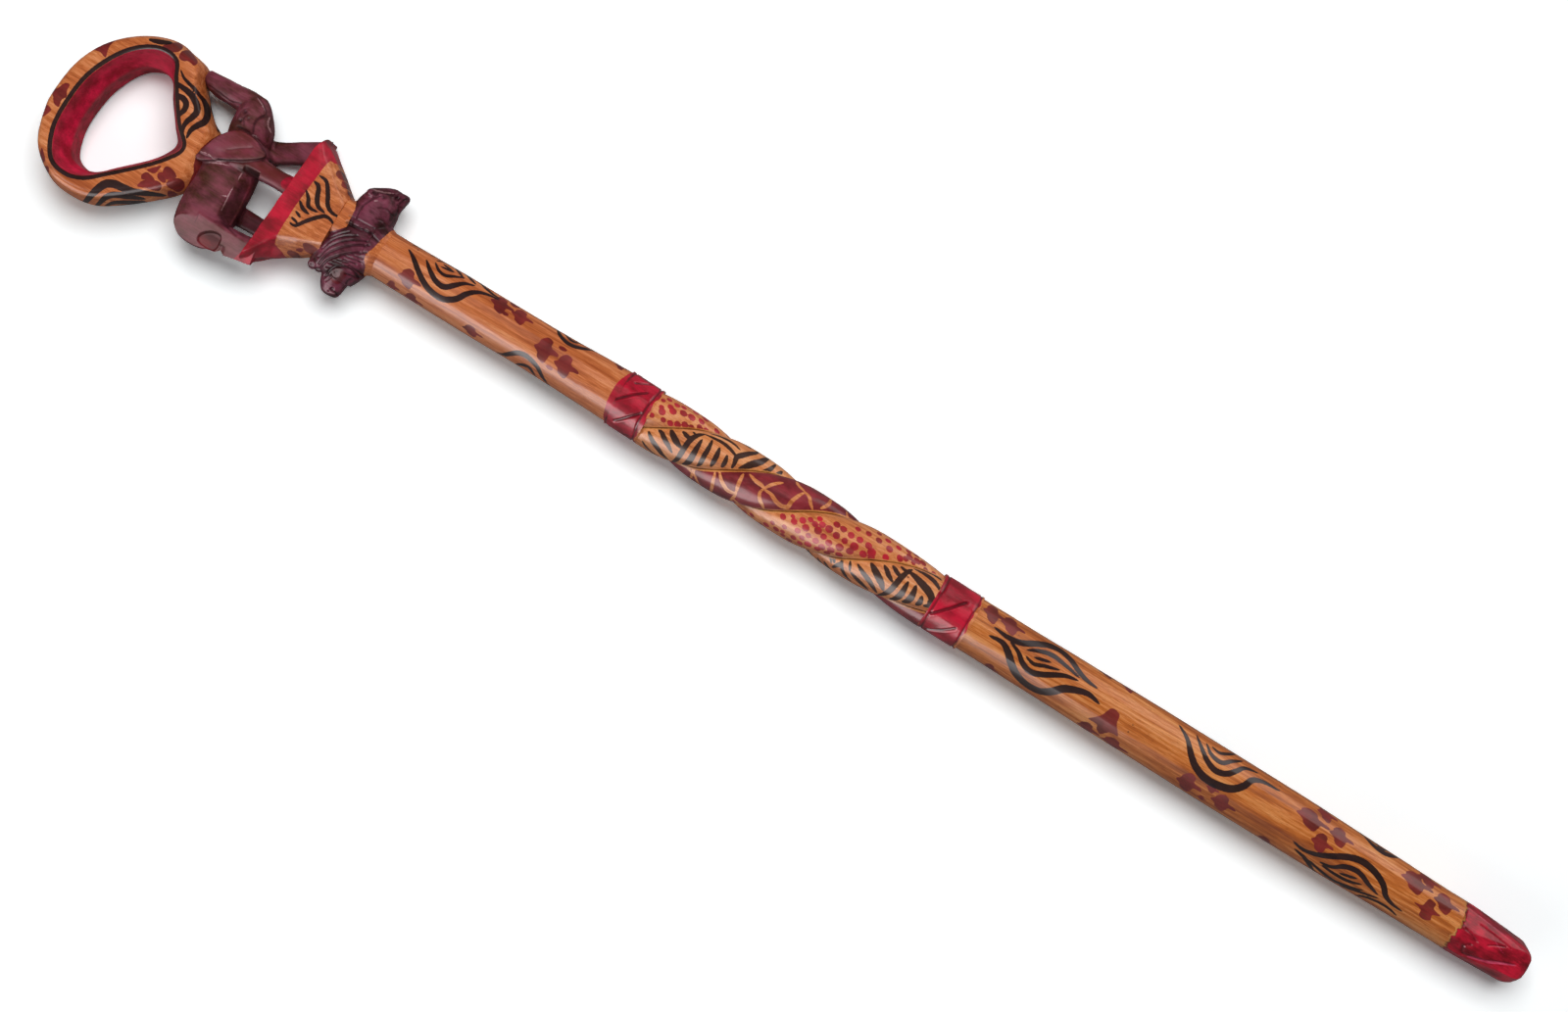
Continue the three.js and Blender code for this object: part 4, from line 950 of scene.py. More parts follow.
plinth = carved("plinth", *skin(eased_edges(plinth_rings(), passes=10)), crease=60)
points = points_of(plinth.data)
place = points[:, [1, 0]]
dents = gouge_marks(points, seed=8, spacing=11, deep=0.3)
move_points(plinth, points - normals_of(plinth.data) * dents[:, None])
note(
    plinth,
    black=brushed(place, plinth_strokes),
    maroon=spotted(place, [curve_through(outline, closed=True, steps=5) for outline in plinth_spots]),
    crimson=spotted(place, [np.array(crimson_top)]),
)
plinth_lacquer = painted_wood("plinth_lacquer", [
    ("maroon", MAROON, 0.7, 0.9), ("crimson", CRIMSON, 0.6, 0.97), ("black", BLACK, 0.5, 0.97),
])
finish_piece(plinth, plinth_lacquer, ["plinth_top", "plinth_body"])

# A maned lion's and a lioness's head meet back to back under the plinth, on a collar round the stick.
# They are carved from the same wood and painted maroon: locks and fringe are cut in with a knife.
HEADS_TOP = 166.7
DIVIDE = 10.8
HEADS_GRAIN = 0.42
RIM_AT, RIM_HALF, RIM_PROUD = 13.6, 1.7, 0.9

mane_shares = [
    [0, 0.12, 0.95, 0.45], [0.3, 0.06, 1, 0.5], [0.65, 0, 0.98, 0.49], [0.88, -0.03, 0.9, 0.43],
    [1, 0.02, 0.84, 0.35],
]
lion_face_shares = [
    [0, 0.02, 1, 0.5], [0.38, 0.05, 0.98, 0.48], [0.63, 0.17, 0.96, 0.43], [0.84, 0.28, 0.93, 0.37],
    [0.96, 0.38, 0.85, 0.28], [1, 0.5, 0.75, 0.14],
]
lioness_shares = [
    [0, 0.1, 0.96, 0.47], [0.18, 0.08, 1, 0.5], [0.4, 0.08, 0.99, 0.48], [0.6, 0.12, 0.96, 0.43],
    [0.77, 0.2, 0.9, 0.38], [0.87, 0.35, 0.86, 0.32], [0.96, 0.55, 0.84, 0.25], [1, 0.66, 0.78, 0.13],
]
jaw_shares = [[0, -0.3, 0.8, 0.5], [0.5, 0.05, 0.9, 0.47], [0.85, 0.2, 1, 0.4], [1, 0.4, 0.85, 0.2]]
collar_shares = [[0, 0, 0.52, 0.52], [0.5, 0, 0.5, 0.5], [1, 0, 0.44, 0.44]]
neck_shares = [[0, 0, 0.5, 0.5], [0.5, 0, 0.5, 0.5], [1, 0, 0.48, 0.48]]
ear_lobe_shares = [
    [0, 0.4, 0.6, 0.1], [0.2, 0.1, 0.9, 0.4], [0.5, 0, 1, 0.5], [0.8, 0.1, 0.9, 0.4], [1, 0.4, 0.6, 0.1],
]


def heads_forms():
    """Overlapping forms of the two heads, the jaw, the collar, the ears and the neck"""
    forms = [
        sideways_form(start=DIVIDE, top=HEADS_TOP - 3, length=-28, height=30, depth=31, shares=mane_shares),
        sideways_form(start=-7.2, top=HEADS_TOP + 3, length=-20, height=18, depth=20, shares=lion_face_shares),
        sideways_form(start=DIVIDE, top=HEADS_TOP, length=30, height=26, depth=29, shares=lioness_shares),
        sideways_form(start=26.8, top=185, length=14, height=8, depth=15, shares=jaw_shares),
        standing_form(start=188, at=7.1, lift=0, length=8.2, width=30, depth=30, shares=collar_shares, power=2.1),
    ]
    ear = {"height": 6, "depth": 8, "shares": ear_lobe_shares}
    for side in (1, -1):
        forms.append(sideways_form(start=-19.5, top=164.5, length=6, lift=8 * side, **ear))
        forms.append(sideways_form(start=29, top=172.5, length=5.5, lift=9 * side, **ear))
    neck = {"width": 23.4, "depth": 26.6, "shares": neck_shares, "power": 3.5}
    forms.append(standing_form(start=HEADS_TOP, at=12.3, lift=0, length=8.5, **neck))
    return forms


heads_cuts = [
    (1.2, 2.0, [(-15, 171), (-8, 172.5), (-1, 178), (4, 184), (7, 189.5)]),
    (1.1, 1.8, [(-12, 169), (-4, 171.5), (2, 176.5), (6, 182), (8.5, 187.5)]),
    (1.0, 1.8, [(-7, 168), (0, 171), (5, 176), (8.5, 181.5)]),
    (1.0, 1.6, [(-1, 168), (4, 172), (8, 176.5)]),
    (1.1, 1.8, [(-17, 172.5), (-11, 174.5), (-5, 179.5), (0, 185.5), (3, 190.5)]),
    (1.3, 2.2, [(-19, 176.5), (-15, 178), (-11.5, 180), (-9.5, 184), (-9, 189), (-11, 192)]),
    (1.0, 1.4, [(-14.5, 175.5), (-13, 179)]),
    (1.0, 1.4, [(-12, 176), (-10.5, 180)]),
    (1.0, 1.4, [(-9.8, 177.5), (-8.5, 182)]),
    (1.0, 1.4, [(-8, 179.5), (-6.5, 185)]),
    (1.0, 1.4, [(-6, 182), (-5.2, 188.5)]),
    (0.9, 1.3, [(-4, 181.5), (-3, 190)]),
    (0.9, 1.3, [(-1.5, 184), (-1, 190)]),
    (1.0, 1.6, [(-7.5, 186), (-8, 192.5)]),
    (0.9, 1.5, [(-12.5, 186), (-11, 192)]),
    (1.2, 2.2, [(11.5, 173), (12, 180), (13, 187), (11.5, 193)]),
    (1.0, 1.6, [(-26.5, 188), (-21, 187.3), (-16, 188.2), (-13, 189.5)]),
    (0.8, 1.4, [(-25, 181.5), (-23.5, 184.2), (-24.5, 186.5)]),
    (0.7, 1.2, [(-21, 178), (-18, 179.5), (-14.5, 179)]),
    (1.0, 1.8, [(16, 176), (22, 175), (28, 177), (33, 180)]),
    (0.5, 1.4, [(27, 183), (28.5, 187), (27.5, 191)]),
    (0.35, 1.2, [(21, 185), (22, 188), (21.5, 191)]),
    (0.9, 1.5, [(33.5, 190), (33, 194), (31.5, 196)]),
    (0.9, 1.6, [(31.5, 176), (34, 177.5), (35.8, 182), (37, 186)]),
    (1.1, 1.8, [(30.5, 191.8), (34, 191), (37, 191.5), (39, 192.2)]),
    (0.8, 1.3, [(15.4, 172), (16, 180), (16.2, 187)]),
]
heads_pits = [
    (-23.2, 183, 1.2, 1.3), (-14.5, 181.5, 1.6, 0.5), (33, 177.5, 1.6, 1.6), (33.5, 182.5, 1.4, 0.9),
    (36.6, 188.2, 1.2, 1.3), (-17.5, 168, 1.5, 1.0),
]
neck_edge = [(-40, 150), (-8, 166), (1.9, 167.3), (9.5, 174.2), (20, 173.3), (24.7, 171.3), (27, 160), (60, 150)]
collar_edge = [
    (-40, 215), (-12, 200), (-7.1, 194.8), (-3.7, 193.8), (-1, 191.4), (2.4, 190.4), (7.6, 192.4), (14.3, 193.8),
    (20, 195.7), (24, 200), (60, 215),
]
# Painted light: the lit part of the lion's face is painted as a redder patch
lit_face = [(-19, 180), (-15, 179), (-11.5, 182), (-12, 186.5), (-16, 186), (-19.5, 184)]
# Pale pink lines along the brows and muzzle: worn paint, and a painted highlight where light catches the ridges
heads_worn_and_lit_lines = [
    (0.4, [(-24, 180.5), (-25, 183), (-24, 186)]),
    (0.4, [(34, 175), (36, 181), (38.5, 187)]),
    (0.5, [(29, 179), (30, 181)]),
]

heads = merged_forms("lion_and_lioness", heads_forms(), HEADS_GRAIN, smoothing=4)
points, normals = points_of(heads.data), normals_of(heads.data)
cuts = carved_depth(points, normals, heads_cuts, heads_pits)
down, across = points[:, 0], points[:, 1]
flatness = abs(normals[:, 2])
rolled_rim = np.clip(1 - ((across - RIM_AT) / RIM_HALF) ** 2, 0, 1) * (0.6 + 0.4 * np.sin(down * 1.5))
rolled_rim *= smoothstep(171, 173, down) * smoothstep(190, 188, down) * (flatness > 0.2)
dents = gouge_marks(points, seed=11, spacing=6, deep=0.22) - RIM_PROUD * rolled_rim
move_points(heads, points - normals * (cuts + dents)[:, None])
place = points[:, [1, 0]]
drawn = drawn_place(points)
past_neck = drawn[:, 1] - np.interp(drawn[:, 0], *np.array(neck_edge).T)
past_collar = drawn[:, 1] - np.interp(drawn[:, 0], *np.array(collar_edge).T)
# The paint is darker in the cuts and pits, the deeper the darker
note(
    heads,
    maroon=np.maximum(-past_neck, past_collar),
    hollow=np.clip(cuts, 0, 1),
    tail=np.where(flatness > 0.1, spotted(place, [curve_through(lit_face, closed=True)]), FAR),
    bare=np.where(normals[:, 2] > 0.1, brushed(place, heads_worn_and_lit_lines), FAR),
)
heads_paint = painted_wood("heads_paint", [
    ("maroon", CARVED_PAINT, 0.9, 0.97), ("tail", REDDISH, 1.0, 0.7), ("bare", PALE_WEAR_AND_HIGHLIGHT, 1.0, 0.4),
], hollows=True, coat=0.6)
finish_piece(heads, heads_paint, ["lion_head", "lioness_head", "neck_collar"])

# The upper shaft is round in the hand, with eight soft flats left by the drawknife. It is tan
# lacquered wood, painted with black zebra eyes and maroon leopard spots.
STICK_STEPS = 168
STICK_SPACING = 0.62
STICK_RADIUS = 15.3
STICK_STATIONS = (191, 344, 544, 919)
STICK_AXIS = (7.1, 6.3, -0.9, -7.2)
STICK_ROUND = 2 * math.pi * STICK_RADIUS
FACETS, FACET_SHARE = 8, 0.28
WAVE_HEIGHT, WAVE_RUN, WAVE_DRIFT, STRAIGHT_END = 0.12, 19, 47, 8


def axis_at(down):
    """How far across the stick's middle lies, as it bends down the cane"""
    return np.interp(down, STICK_STATIONS, STICK_AXIS)


def facet_reach(angle, sides, share):
    """Reach of a many-sided section with softened corners"""
    step = 2 * np.pi / sides
    turned = angle - step * np.round(angle / step)
    mean = (1 + 1 / math.cos(step / 2)) / 2
    return share / np.cos(turned) / mean + 1 - share


def rings_round(down, reach, angle):
    """Rings of points round the stick's middle, at so many millimetres down it and out from it"""
    return np.stack([
        np.repeat(down[:, None], STICK_STEPS, 1),
        axis_at(down)[:, None] + reach * np.sin(angle),
        reach * np.cos(angle),
    ], -1)


def stick_rings(start, length, widths):
    """Rings down a length of stick, with the drawknife's slow waves in its flats"""
    rows = int(length / STICK_SPACING) + 1
    down = start + length * np.linspace(0, 1, rows)
    width = between_rows(widths, rows - 1)[:, 1]
    angle = np.linspace(0, 2 * np.pi, STICK_STEPS, endpoint=False)
    flat = np.round(angle / (2 * np.pi / FACETS))
    wave = WAVE_HEIGHT * np.sin(down[:, None] / WAVE_RUN + 2 * flat + np.sin(down / WAVE_DRIFT)[:, None])
    ends = smoothstep(0, STRAIGHT_END, down - start) * smoothstep(0, STRAIGHT_END, start + length - down)
    reach = width[:, None] / 2 * facet_reach(angle, FACETS, FACET_SHARE) - abs(wave) * ends[:, None]
    return rings_round(down, reach, angle)


def round_stick(points):
    """Places on the stick's unrolled surface: millimetres round it from the front, and down it"""
    angle = np.arctan2(points[:, 1] - axis_at(points[:, 0]), points[:, 2])
    return np.column_stack([STICK_RADIUS * angle, points[:, 0]])


def unrolled(drawn):
    """Points drawn as degrees round the stick and millimetres down it, on the unrolled surface"""
    drawn = np.asarray(drawn, float)
    return np.column_stack([STICK_RADIUS * np.radians(drawn[:, 0]), drawn[:, 1]])


def turned(marks, turn, slide=0, mirror=False):
    """The same strokes turned round the stick and slid down it, or mirrored about an angle"""
    sign = -1 if mirror else 1
    return [(width, [(turn + sign * a, s + slide) for a, s in points]) for width, points in marks]


leopard_spot = np.array([
    (-0.15, -1.0), (0.2, -0.78), (0.55, -0.75), (1.0, -0.3), (0.85, 0.1), (0.35, 0.3), (0.25, 0.85), (-0.02, 1.0),
    (-0.12, 0.5), (-0.55, 0.4), (-1.0, 0.2), (-0.8, -0.35), (-0.45, -0.55),
])
star_spot = np.array([
    (-0.05, -1.0), (0.12, -0.42), (0.55, -0.3), (1.0, -0.12), (0.92, 0.3), (0.35, 0.4), (0.1, 1.0), (-0.15, 0.5),
    (-0.75, 0.55), (-1.0, 0.1), (-0.8, -0.25), (-0.3, -0.35),
])


def leopard_spots(frames, shape=leopard_spot):
    """Spots from the angles and the places down the stick that each spans"""
    outlines = []
    for left, right, top, bottom in frames:
        spot = shape * [(right - left) / 2, (bottom - top) / 2] + [(left + right) / 2, (top + bottom) / 2]
        outlines.append(unrolled(curve_through(spot, closed=True, steps=6)))
    return outlines


def stick_strokes(marks, thinned=1.05):
    """Strokes on the unrolled surface, their widths thinned or thickened alike"""
    return [(thinned * width, unrolled(points)) for width, points in marks]


eye_right_upper = [
    (2.6, [(45, 207.5), (35, 211), (25, 214), (5, 220), (-10, 226), (-17, 232), (-16, 238), (0, 244), (20, 247),
           (40, 251.5), (50, 257), (53, 263)]),
    (2.4, [(45, 218.5), (25, 223.5), (9, 230), (8, 235), (25, 239.5), (42, 243), (53, 248)]),
    (1.7, [(53, 223), (35, 228), (33, 232), (45, 236.5), (58, 241)]),
    (1.4, [(49, 227), (56, 235)]),
]
eye_left = [
    (2.4, [(-72, 275), (-66, 279), (-50, 282.5), (-33, 287), (-30, 292), (-40, 299), (-60, 304), (-78, 309)]),
    (1.8, [(-78, 287), (-60, 291), (-55, 295), (-78, 301)]),
]
eye_right_lower = [
    (2.2, [(80, 297), (60, 300), (48, 306), (50, 311), (62, 316), (80, 321)]),
    (1.6, [(80, 302), (66, 305), (63, 308.5), (80, 313)]),
]
upper_spots = [
    (-42, 4, 210, 224), (-82, -45, 206, 214), (-84, -47, 217, 229), (20, 70, 259, 273), (22, 67, 272, 285),
    (-66, -36, 253, 266), (-24, 34, 292, 306), (-29, 21, 305.5, 320), (58, 84, 333, 341),
]
upper_dots = [(23, 33, 268, 272), (60, 82, 268, 274), (-29, -19, 303, 307), (22, 32, 303.5, 308.5)]
centre_spots = [upper_spots[number] for number in (0, 3, 4, 6, 7)]
dot = np.array([(math.cos(a), math.sin(a)) for a in np.linspace(0, 2 * math.pi, 8, endpoint=False)])

BEHIND_SQUEEZE, BEHIND_EYE, BEHIND_SLIDE = 0.82, 58, 78
BAND_EDGE, BAND_SWEEP, BAND_CHIPS = 342, 2.2, 0.6
chips = [0.8, -0.6, 0.3, 1.2, -1.0, 0.4, 0.9, -0.5, -1.1, 0.6, 1.1, -0.4, 0.8]

upper_widths = [(0, 27), (0.3, 28.2), (0.6, 28.2), (1, 30.6)]
upper_shaft = carved("upper_stick", *skin(stick_rings(start=196, length=148, widths=upper_widths)))
place = round_stick(points_of(upper_shaft.data))
marks = eye_right_upper + turned(eye_right_upper, 111, mirror=True) + eye_left + turned(eye_left, -156, mirror=True)
marks += eye_right_lower + turned(eye_right_lower, 160, mirror=True)
behind_eye = [
    (width, [(180 - BEHIND_SQUEEZE * (BEHIND_EYE - a), s + BEHIND_SLIDE) for a, s in points])
    for width, points in eye_right_upper
]
marks += behind_eye + turned(behind_eye, 0, mirror=True)
behind_spots = [(a + 180, b + 180, s - 9, e - 9) for a, b, s, e in centre_spots]
spots = leopard_spots(upper_spots + behind_spots) + leopard_spots(upper_dots, dot)
ragged = np.interp(place[:, 0], np.linspace(-48, 48, len(chips)), chips)
band_edge = BAND_EDGE - BAND_SWEEP * np.cos(2 * place[:, 0] / STICK_RADIUS) + BAND_CHIPS * ragged
note(
    upper_shaft,
    black=brushed(place, stick_strokes(marks), STICK_ROUND),
    maroon=spotted(place, spots, STICK_ROUND),
    crimson=band_edge - place[:, 1],
)
stick_lacquer = painted_wood("stick_lacquer", [
    ("maroon", MAROON, 0.7, 0.93), ("crimson", CRIMSON, 0.9, 0.97), ("black", BLACK, 0.5, 0.97),
])
finish_piece(upper_shaft, stick_lacquer, ["upper_shaft"])

# The twist between the bands is three strands carved round one another, parted by deep grooves that
# wind left-handed. One is dotted like a leopard, one striped like a zebra, one netted like a giraffe.
TWIST_AT, TWIST_LENGTH, TWIST_RADIUS, TWIST_LEAD = 364, 180, 16.1, 129
TWIST_START = -0.087
STRAND_GROOVE, STRAND_GAP, LOBE_POWER = 3.6, 0.3, 3.0
STRAND_ROWS, STRAND_COLUMNS = 270, 84
SLACK_LENGTH, SLACK_TURN, SLACK_POWER = 42, 30, 1.5
strand_shares = {"leopard": 0.366, "zebra": 0.32, "giraffe": 0.314}
strand_starts = {
    "leopard": TWIST_START, "zebra": TWIST_START - strand_shares["zebra"],
    "giraffe": TWIST_START - strand_shares["zebra"] - strand_shares["giraffe"],
}


def strand_tree():
    """Geometry nodes that wind a closed rod of a rounded wedge section into one strand of the twist"""
    tree = bpy.data.node_groups.new("carved_strand", "GeometryNodeTree")
    tree.interface.new_socket("Geometry", in_out="OUTPUT", socket_type="NodeSocketGeometry")
    for label in ("Length", "Radius", "Groove", "Lead", "Start", "Spread", "Gap", "From", "Axis From", "Axis To",
                  "Across", "Up", "Slack Length", "Slack Turn"):
        tree.interface.new_socket(label, in_out="INPUT", socket_type="NodeSocketFloat")
    for label in ("Rows", "Columns"):
        tree.interface.new_socket(label, in_out="INPUT", socket_type="NodeSocketInt")
    tree.interface.new_socket("Material", in_out="INPUT", socket_type="NodeSocketMaterial")
    given = tree.nodes.new("NodeGroupInput").outputs

    def plus(first, second):
        return calc(tree, "ADD", first, second)

    def less(first, second):
        return calc(tree, "SUBTRACT", first, second)

    def times(first, second):
        return calc(tree, "MULTIPLY", first, second)

    def over(first, second):
        return calc(tree, "DIVIDE", first, second)

    # A plain rod: its first column becomes the strand's heart, and the others its rounded outer side
    rod = add(tree, "GeometryNodeMeshCylinder", {
        "Vertices": given["Columns"], "Side Segments": given["Rows"], "Radius": 1.0, "Depth": 1.0,
    }, fill_type="NGON")
    corner = add(tree, "ShaderNodeSeparateXYZ", {0: tree.nodes.new("GeometryNodeInputPosition").outputs[0]}).outputs
    along = plus(corner[2], 0.5)
    bearing = calc(tree, "FRACT", over(calc(tree, "ARCTAN2", corner[1], corner[0]), 2 * math.pi))
    column = calc(tree, "MODULO", calc(tree, "ROUND", times(bearing, given["Columns"])), given["Columns"])
    heart = calc(tree, "LESS_THAN", column, 0.5)
    across = over(less(column, 1.0), less(given["Columns"], 2.0))

    # The outer side is sunk towards the grooves at both its edges
    lobe = calc(tree, "POWER", calc(tree, "ABSOLUTE", calc(tree, "MULTIPLY_ADD", across, 2.0, -1.0)), LOBE_POWER)
    reach = less(given["Radius"], times(given["Groove"], lobe))
    inset = over(times(given["Gap"], 0.5), reach)
    sweep = times(across, less(given["Spread"], times(inset, 2.0)))
    half_spread = times(given["Spread"], 0.5)
    heart_reach = over(times(given["Gap"], 0.5), calc(tree, "SINE", half_spread))

    # It winds evenly, and slackens towards its end
    winding = over(times(along, given["Length"]), given["Lead"])
    wound_up = plus(given["Start"], times(winding, 2 * math.pi))
    slack = less(given["Slack Length"], times(less(1.0, along), given["Length"]))
    slack = calc(tree, "POWER", over(calc(tree, "MAXIMUM", slack, 0.0), given["Slack Length"]), SLACK_POWER)
    turn = less(wound_up, times(slack, given["Slack Turn"]))

    def either(at_heart, on_rim):
        return plus(times(heart, at_heart), times(less(1.0, heart), on_rim))

    distance = either(heart_reach, reach)
    angle = plus(turn, either(half_spread, plus(inset, sweep)))
    drift = times(along, less(given["Axis To"], given["Axis From"]))
    axis = plus(plus(given["Axis From"], given["Across"]), drift)
    spot = add(tree, "ShaderNodeCombineXYZ", {
        0: plus(given["From"], times(along, given["Length"])),
        1: plus(axis, times(distance, calc(tree, "SINE", angle))),
        2: plus(given["Up"], times(distance, calc(tree, "COSINE", angle))),
    })
    wound = add(tree, "GeometryNodeSetPosition", {"Geometry": rod.outputs["Mesh"], "Position": spot.outputs[0]})
    plain = add(tree, "GeometryNodeRealizeInstances", {0: wound.outputs[0]})
    dressed = add(tree, "GeometryNodeSetMaterial", {"Geometry": plain.outputs[0], "Material": given["Material"]})
    out = tree.nodes.new("NodeGroupOutput")
    tree.links.new(dressed.outputs[0], out.inputs[0])
    return tree


def grown(name, tree, values):
    """Plain mesh from a node tree with its inputs set"""
    holder = bpy.data.objects.new(name, bpy.data.meshes.new(name + "_seed"))
    bpy.context.scene.collection.objects.link(holder)
    maker = holder.modifiers.new("maker", "NODES")
    maker.node_group = tree
    for item in tree.interface.items_tree:
        if item.in_out == "INPUT":
            maker[item.identifier] = values[item.name]
    mesh = bpy.data.meshes.new_from_object(holder.evaluated_get(bpy.context.evaluated_depsgraph_get()))
    holder.modifiers.clear()
    bpy.data.objects.remove(holder)
    if signed_volume(mesh) < 0:
        mesh.flip_normals()
    return shown(name, mesh, 60)


def traced(points):
    """A mark's line on the unrolled surface, or its one point"""
    return curve_through(unrolled(points), steps=4) if len(points) > 1 else unrolled(points)


FRONT_REACH, END_MARGIN = 64, 1.5
EIGHTHS_TRIED = (4, -4, 2, -2, 6, -6, 3, -3, 1, -1, 5, -5)
BAR_ROOM, DOT_ROOM = 3.4, 4.3


def repeated(marks, room):
    """Marks drawn for the front, and again along their strand where its sides and back are bare"""
    kept = list(marks)
    taken = np.vstack([traced(points) for _, points in marks])
    first, last = TWIST_AT + END_MARGIN, TWIST_AT + TWIST_LENGTH - END_MARGIN
    for eighths in EIGHTHS_TRIED:
        for width, points in marks:
            moved = np.array(points, float) + [360 / 8 * eighths, TWIST_LEAD / 8 * eighths]
            outside = moved[:, 1].min() <= first or moved[:, 1].max() >= last
            if outside or abs((moved[:, 0] + 180) % 360 - 180).min() < FRONT_REACH:
                continue
            line = traced(moved)
            gap = line[:, None] - taken[None]
            gap[..., 0] = (gap[..., 0] + STICK_ROUND / 2) % STICK_ROUND - STICK_ROUND / 2
            if np.linalg.norm(gap, axis=2).min() > room:
                kept.append((width, moved))
                taken = np.vstack([taken, line])
    return kept


def screwed(marks, half_turns):
    """Strokes carried along the twist by half turns, so that they fall on the far side"""
    return turned(marks, 180.0 * half_turns, TWIST_LEAD / 2 * half_turns)


zebra_bars = [
    (1.5, [(-80, 381), (-72, 375), (-64, 370.5), (-54, 367)]),
    (2.5, [(-62, 384.5), (-55, 380), (-46, 376), (-38, 371.5), (-29, 367.5)]),
    (2.2, [(-37, 384.5), (-28, 381), (-20, 377), (-15, 374.5), (-13, 371.5)]),
    (2.7, [(-17, 387), (-12, 383.5), (-5, 380), (3, 377.5)]),
    (2.0, [(8, 389), (9, 386.5), (13, 383.5)]),
    (1.1, [(22, 390), (24, 388.3)]),
    (2.4, [(-72, 386), (-55, 387.5), (-40, 388.5), (-18, 388.8), (2, 389.2), (16, 390.5), (26, 392.3), (34, 394.5)]),
    (2.8, [(-56, 392), (-42, 393.8), (-28, 394.6), (-8, 394.6), (20, 394.5)]),
    (2.2, [(-36, 399.3), (-24, 400.2), (-5, 400), (12, 400), (30, 399.4)]),
    (2.2, [(-19, 405.8), (-5, 405.9), (10, 405.6), (25, 404.9)]),
    (2.0, [(-7, 411), (6, 411.2), (20, 410.3)]),
    (1.7, [(33, 394), (35.5, 400), (37, 404.5), (35, 409), (31, 412.5), (27, 415.5)]),
    (1.4, [(44, 396), (48.5, 401), (51, 406), (50, 411), (45, 415)]),
    (2.4, [(3, 415.8), (15, 415.8), (27, 415.2), (38, 417.2), (52, 420), (66, 422.5), (82, 423.5)]),
    (2.8, [(11, 419), (22, 421.5), (32, 423.3), (42, 425.3), (55, 427.6), (70, 429), (84, 430)]),
    (2.0, [(26, 428.6), (38, 431), (48, 432.6), (60, 434), (82, 435)]),
    (2.0, [(44, 436.7), (58, 438.2), (80, 440)]),
    (2.2, [(49, 443), (62, 443.4), (76, 443.3)]),
    (1.8, [(52, 450), (60, 448), (68, 446.5)]),
]
zebra_bars_lower = [
    (1.3, [(-62, 488), (-52, 484.5), (-45, 480.5)]),
    (1.6, [(-56, 489), (-44, 486)]),
    (1.8, [(-70, 489), (-56, 490.5), (-46, 492), (-36, 491.3)]),
    (1.8, [(-74, 502), (-62, 497), (-50, 493.3), (-38, 491.8)]),
    (1.3, [(-46, 498.3), (-36, 496.7), (-27, 495.3)]),
    (2.2, [(-62, 512), (-56, 507.5), (-51, 503.5), (-45, 498.5)]),
    (2.3, [(-54, 516.5), (-45, 513), (-36, 509), (-30, 504.5), (-23, 499.5)]),
    (3.0, [(-38, 518.5), (-28, 516), (-18, 512), (-11, 508.5), (-5, 505.5)]),
    (2.1, [(-12, 520.3), (-6, 517), (1, 514.5), (7, 512)]),
    (2.0, [(4, 522), (10, 519), (17, 516)]),
    (1.7, [(19, 524.5), (25, 520)]),
    (2.6, [(-66, 517.3), (-48, 519.5), (-33, 521.3), (-15, 522.2), (5, 523.2), (20, 524.5), (34, 526.3)]),
    (2.8, [(-55, 524), (-40, 526.3), (-26, 527.5), (-12, 527.6), (5, 527.4)]),
    (3.0, [(-40, 530.5), (-28, 532.6), (-14, 533), (7, 532)]),
    (2.4, [(-28, 537.3), (-18, 538.4), (-4, 537.6)]),
    (2.2, [(-20, 541), (-12, 543.6), (-4, 541.8)]),
    (3.2, [(24, 524.5), (20, 530), (15, 535), (9, 540), (0, 543.3), (-9, 545)]),
    (2.2, [(38, 526.5), (38.5, 534), (33.5, 540), (23, 545)]),
    (1.7, [(50, 530.5), (52.5, 537), (47, 543)]),
]
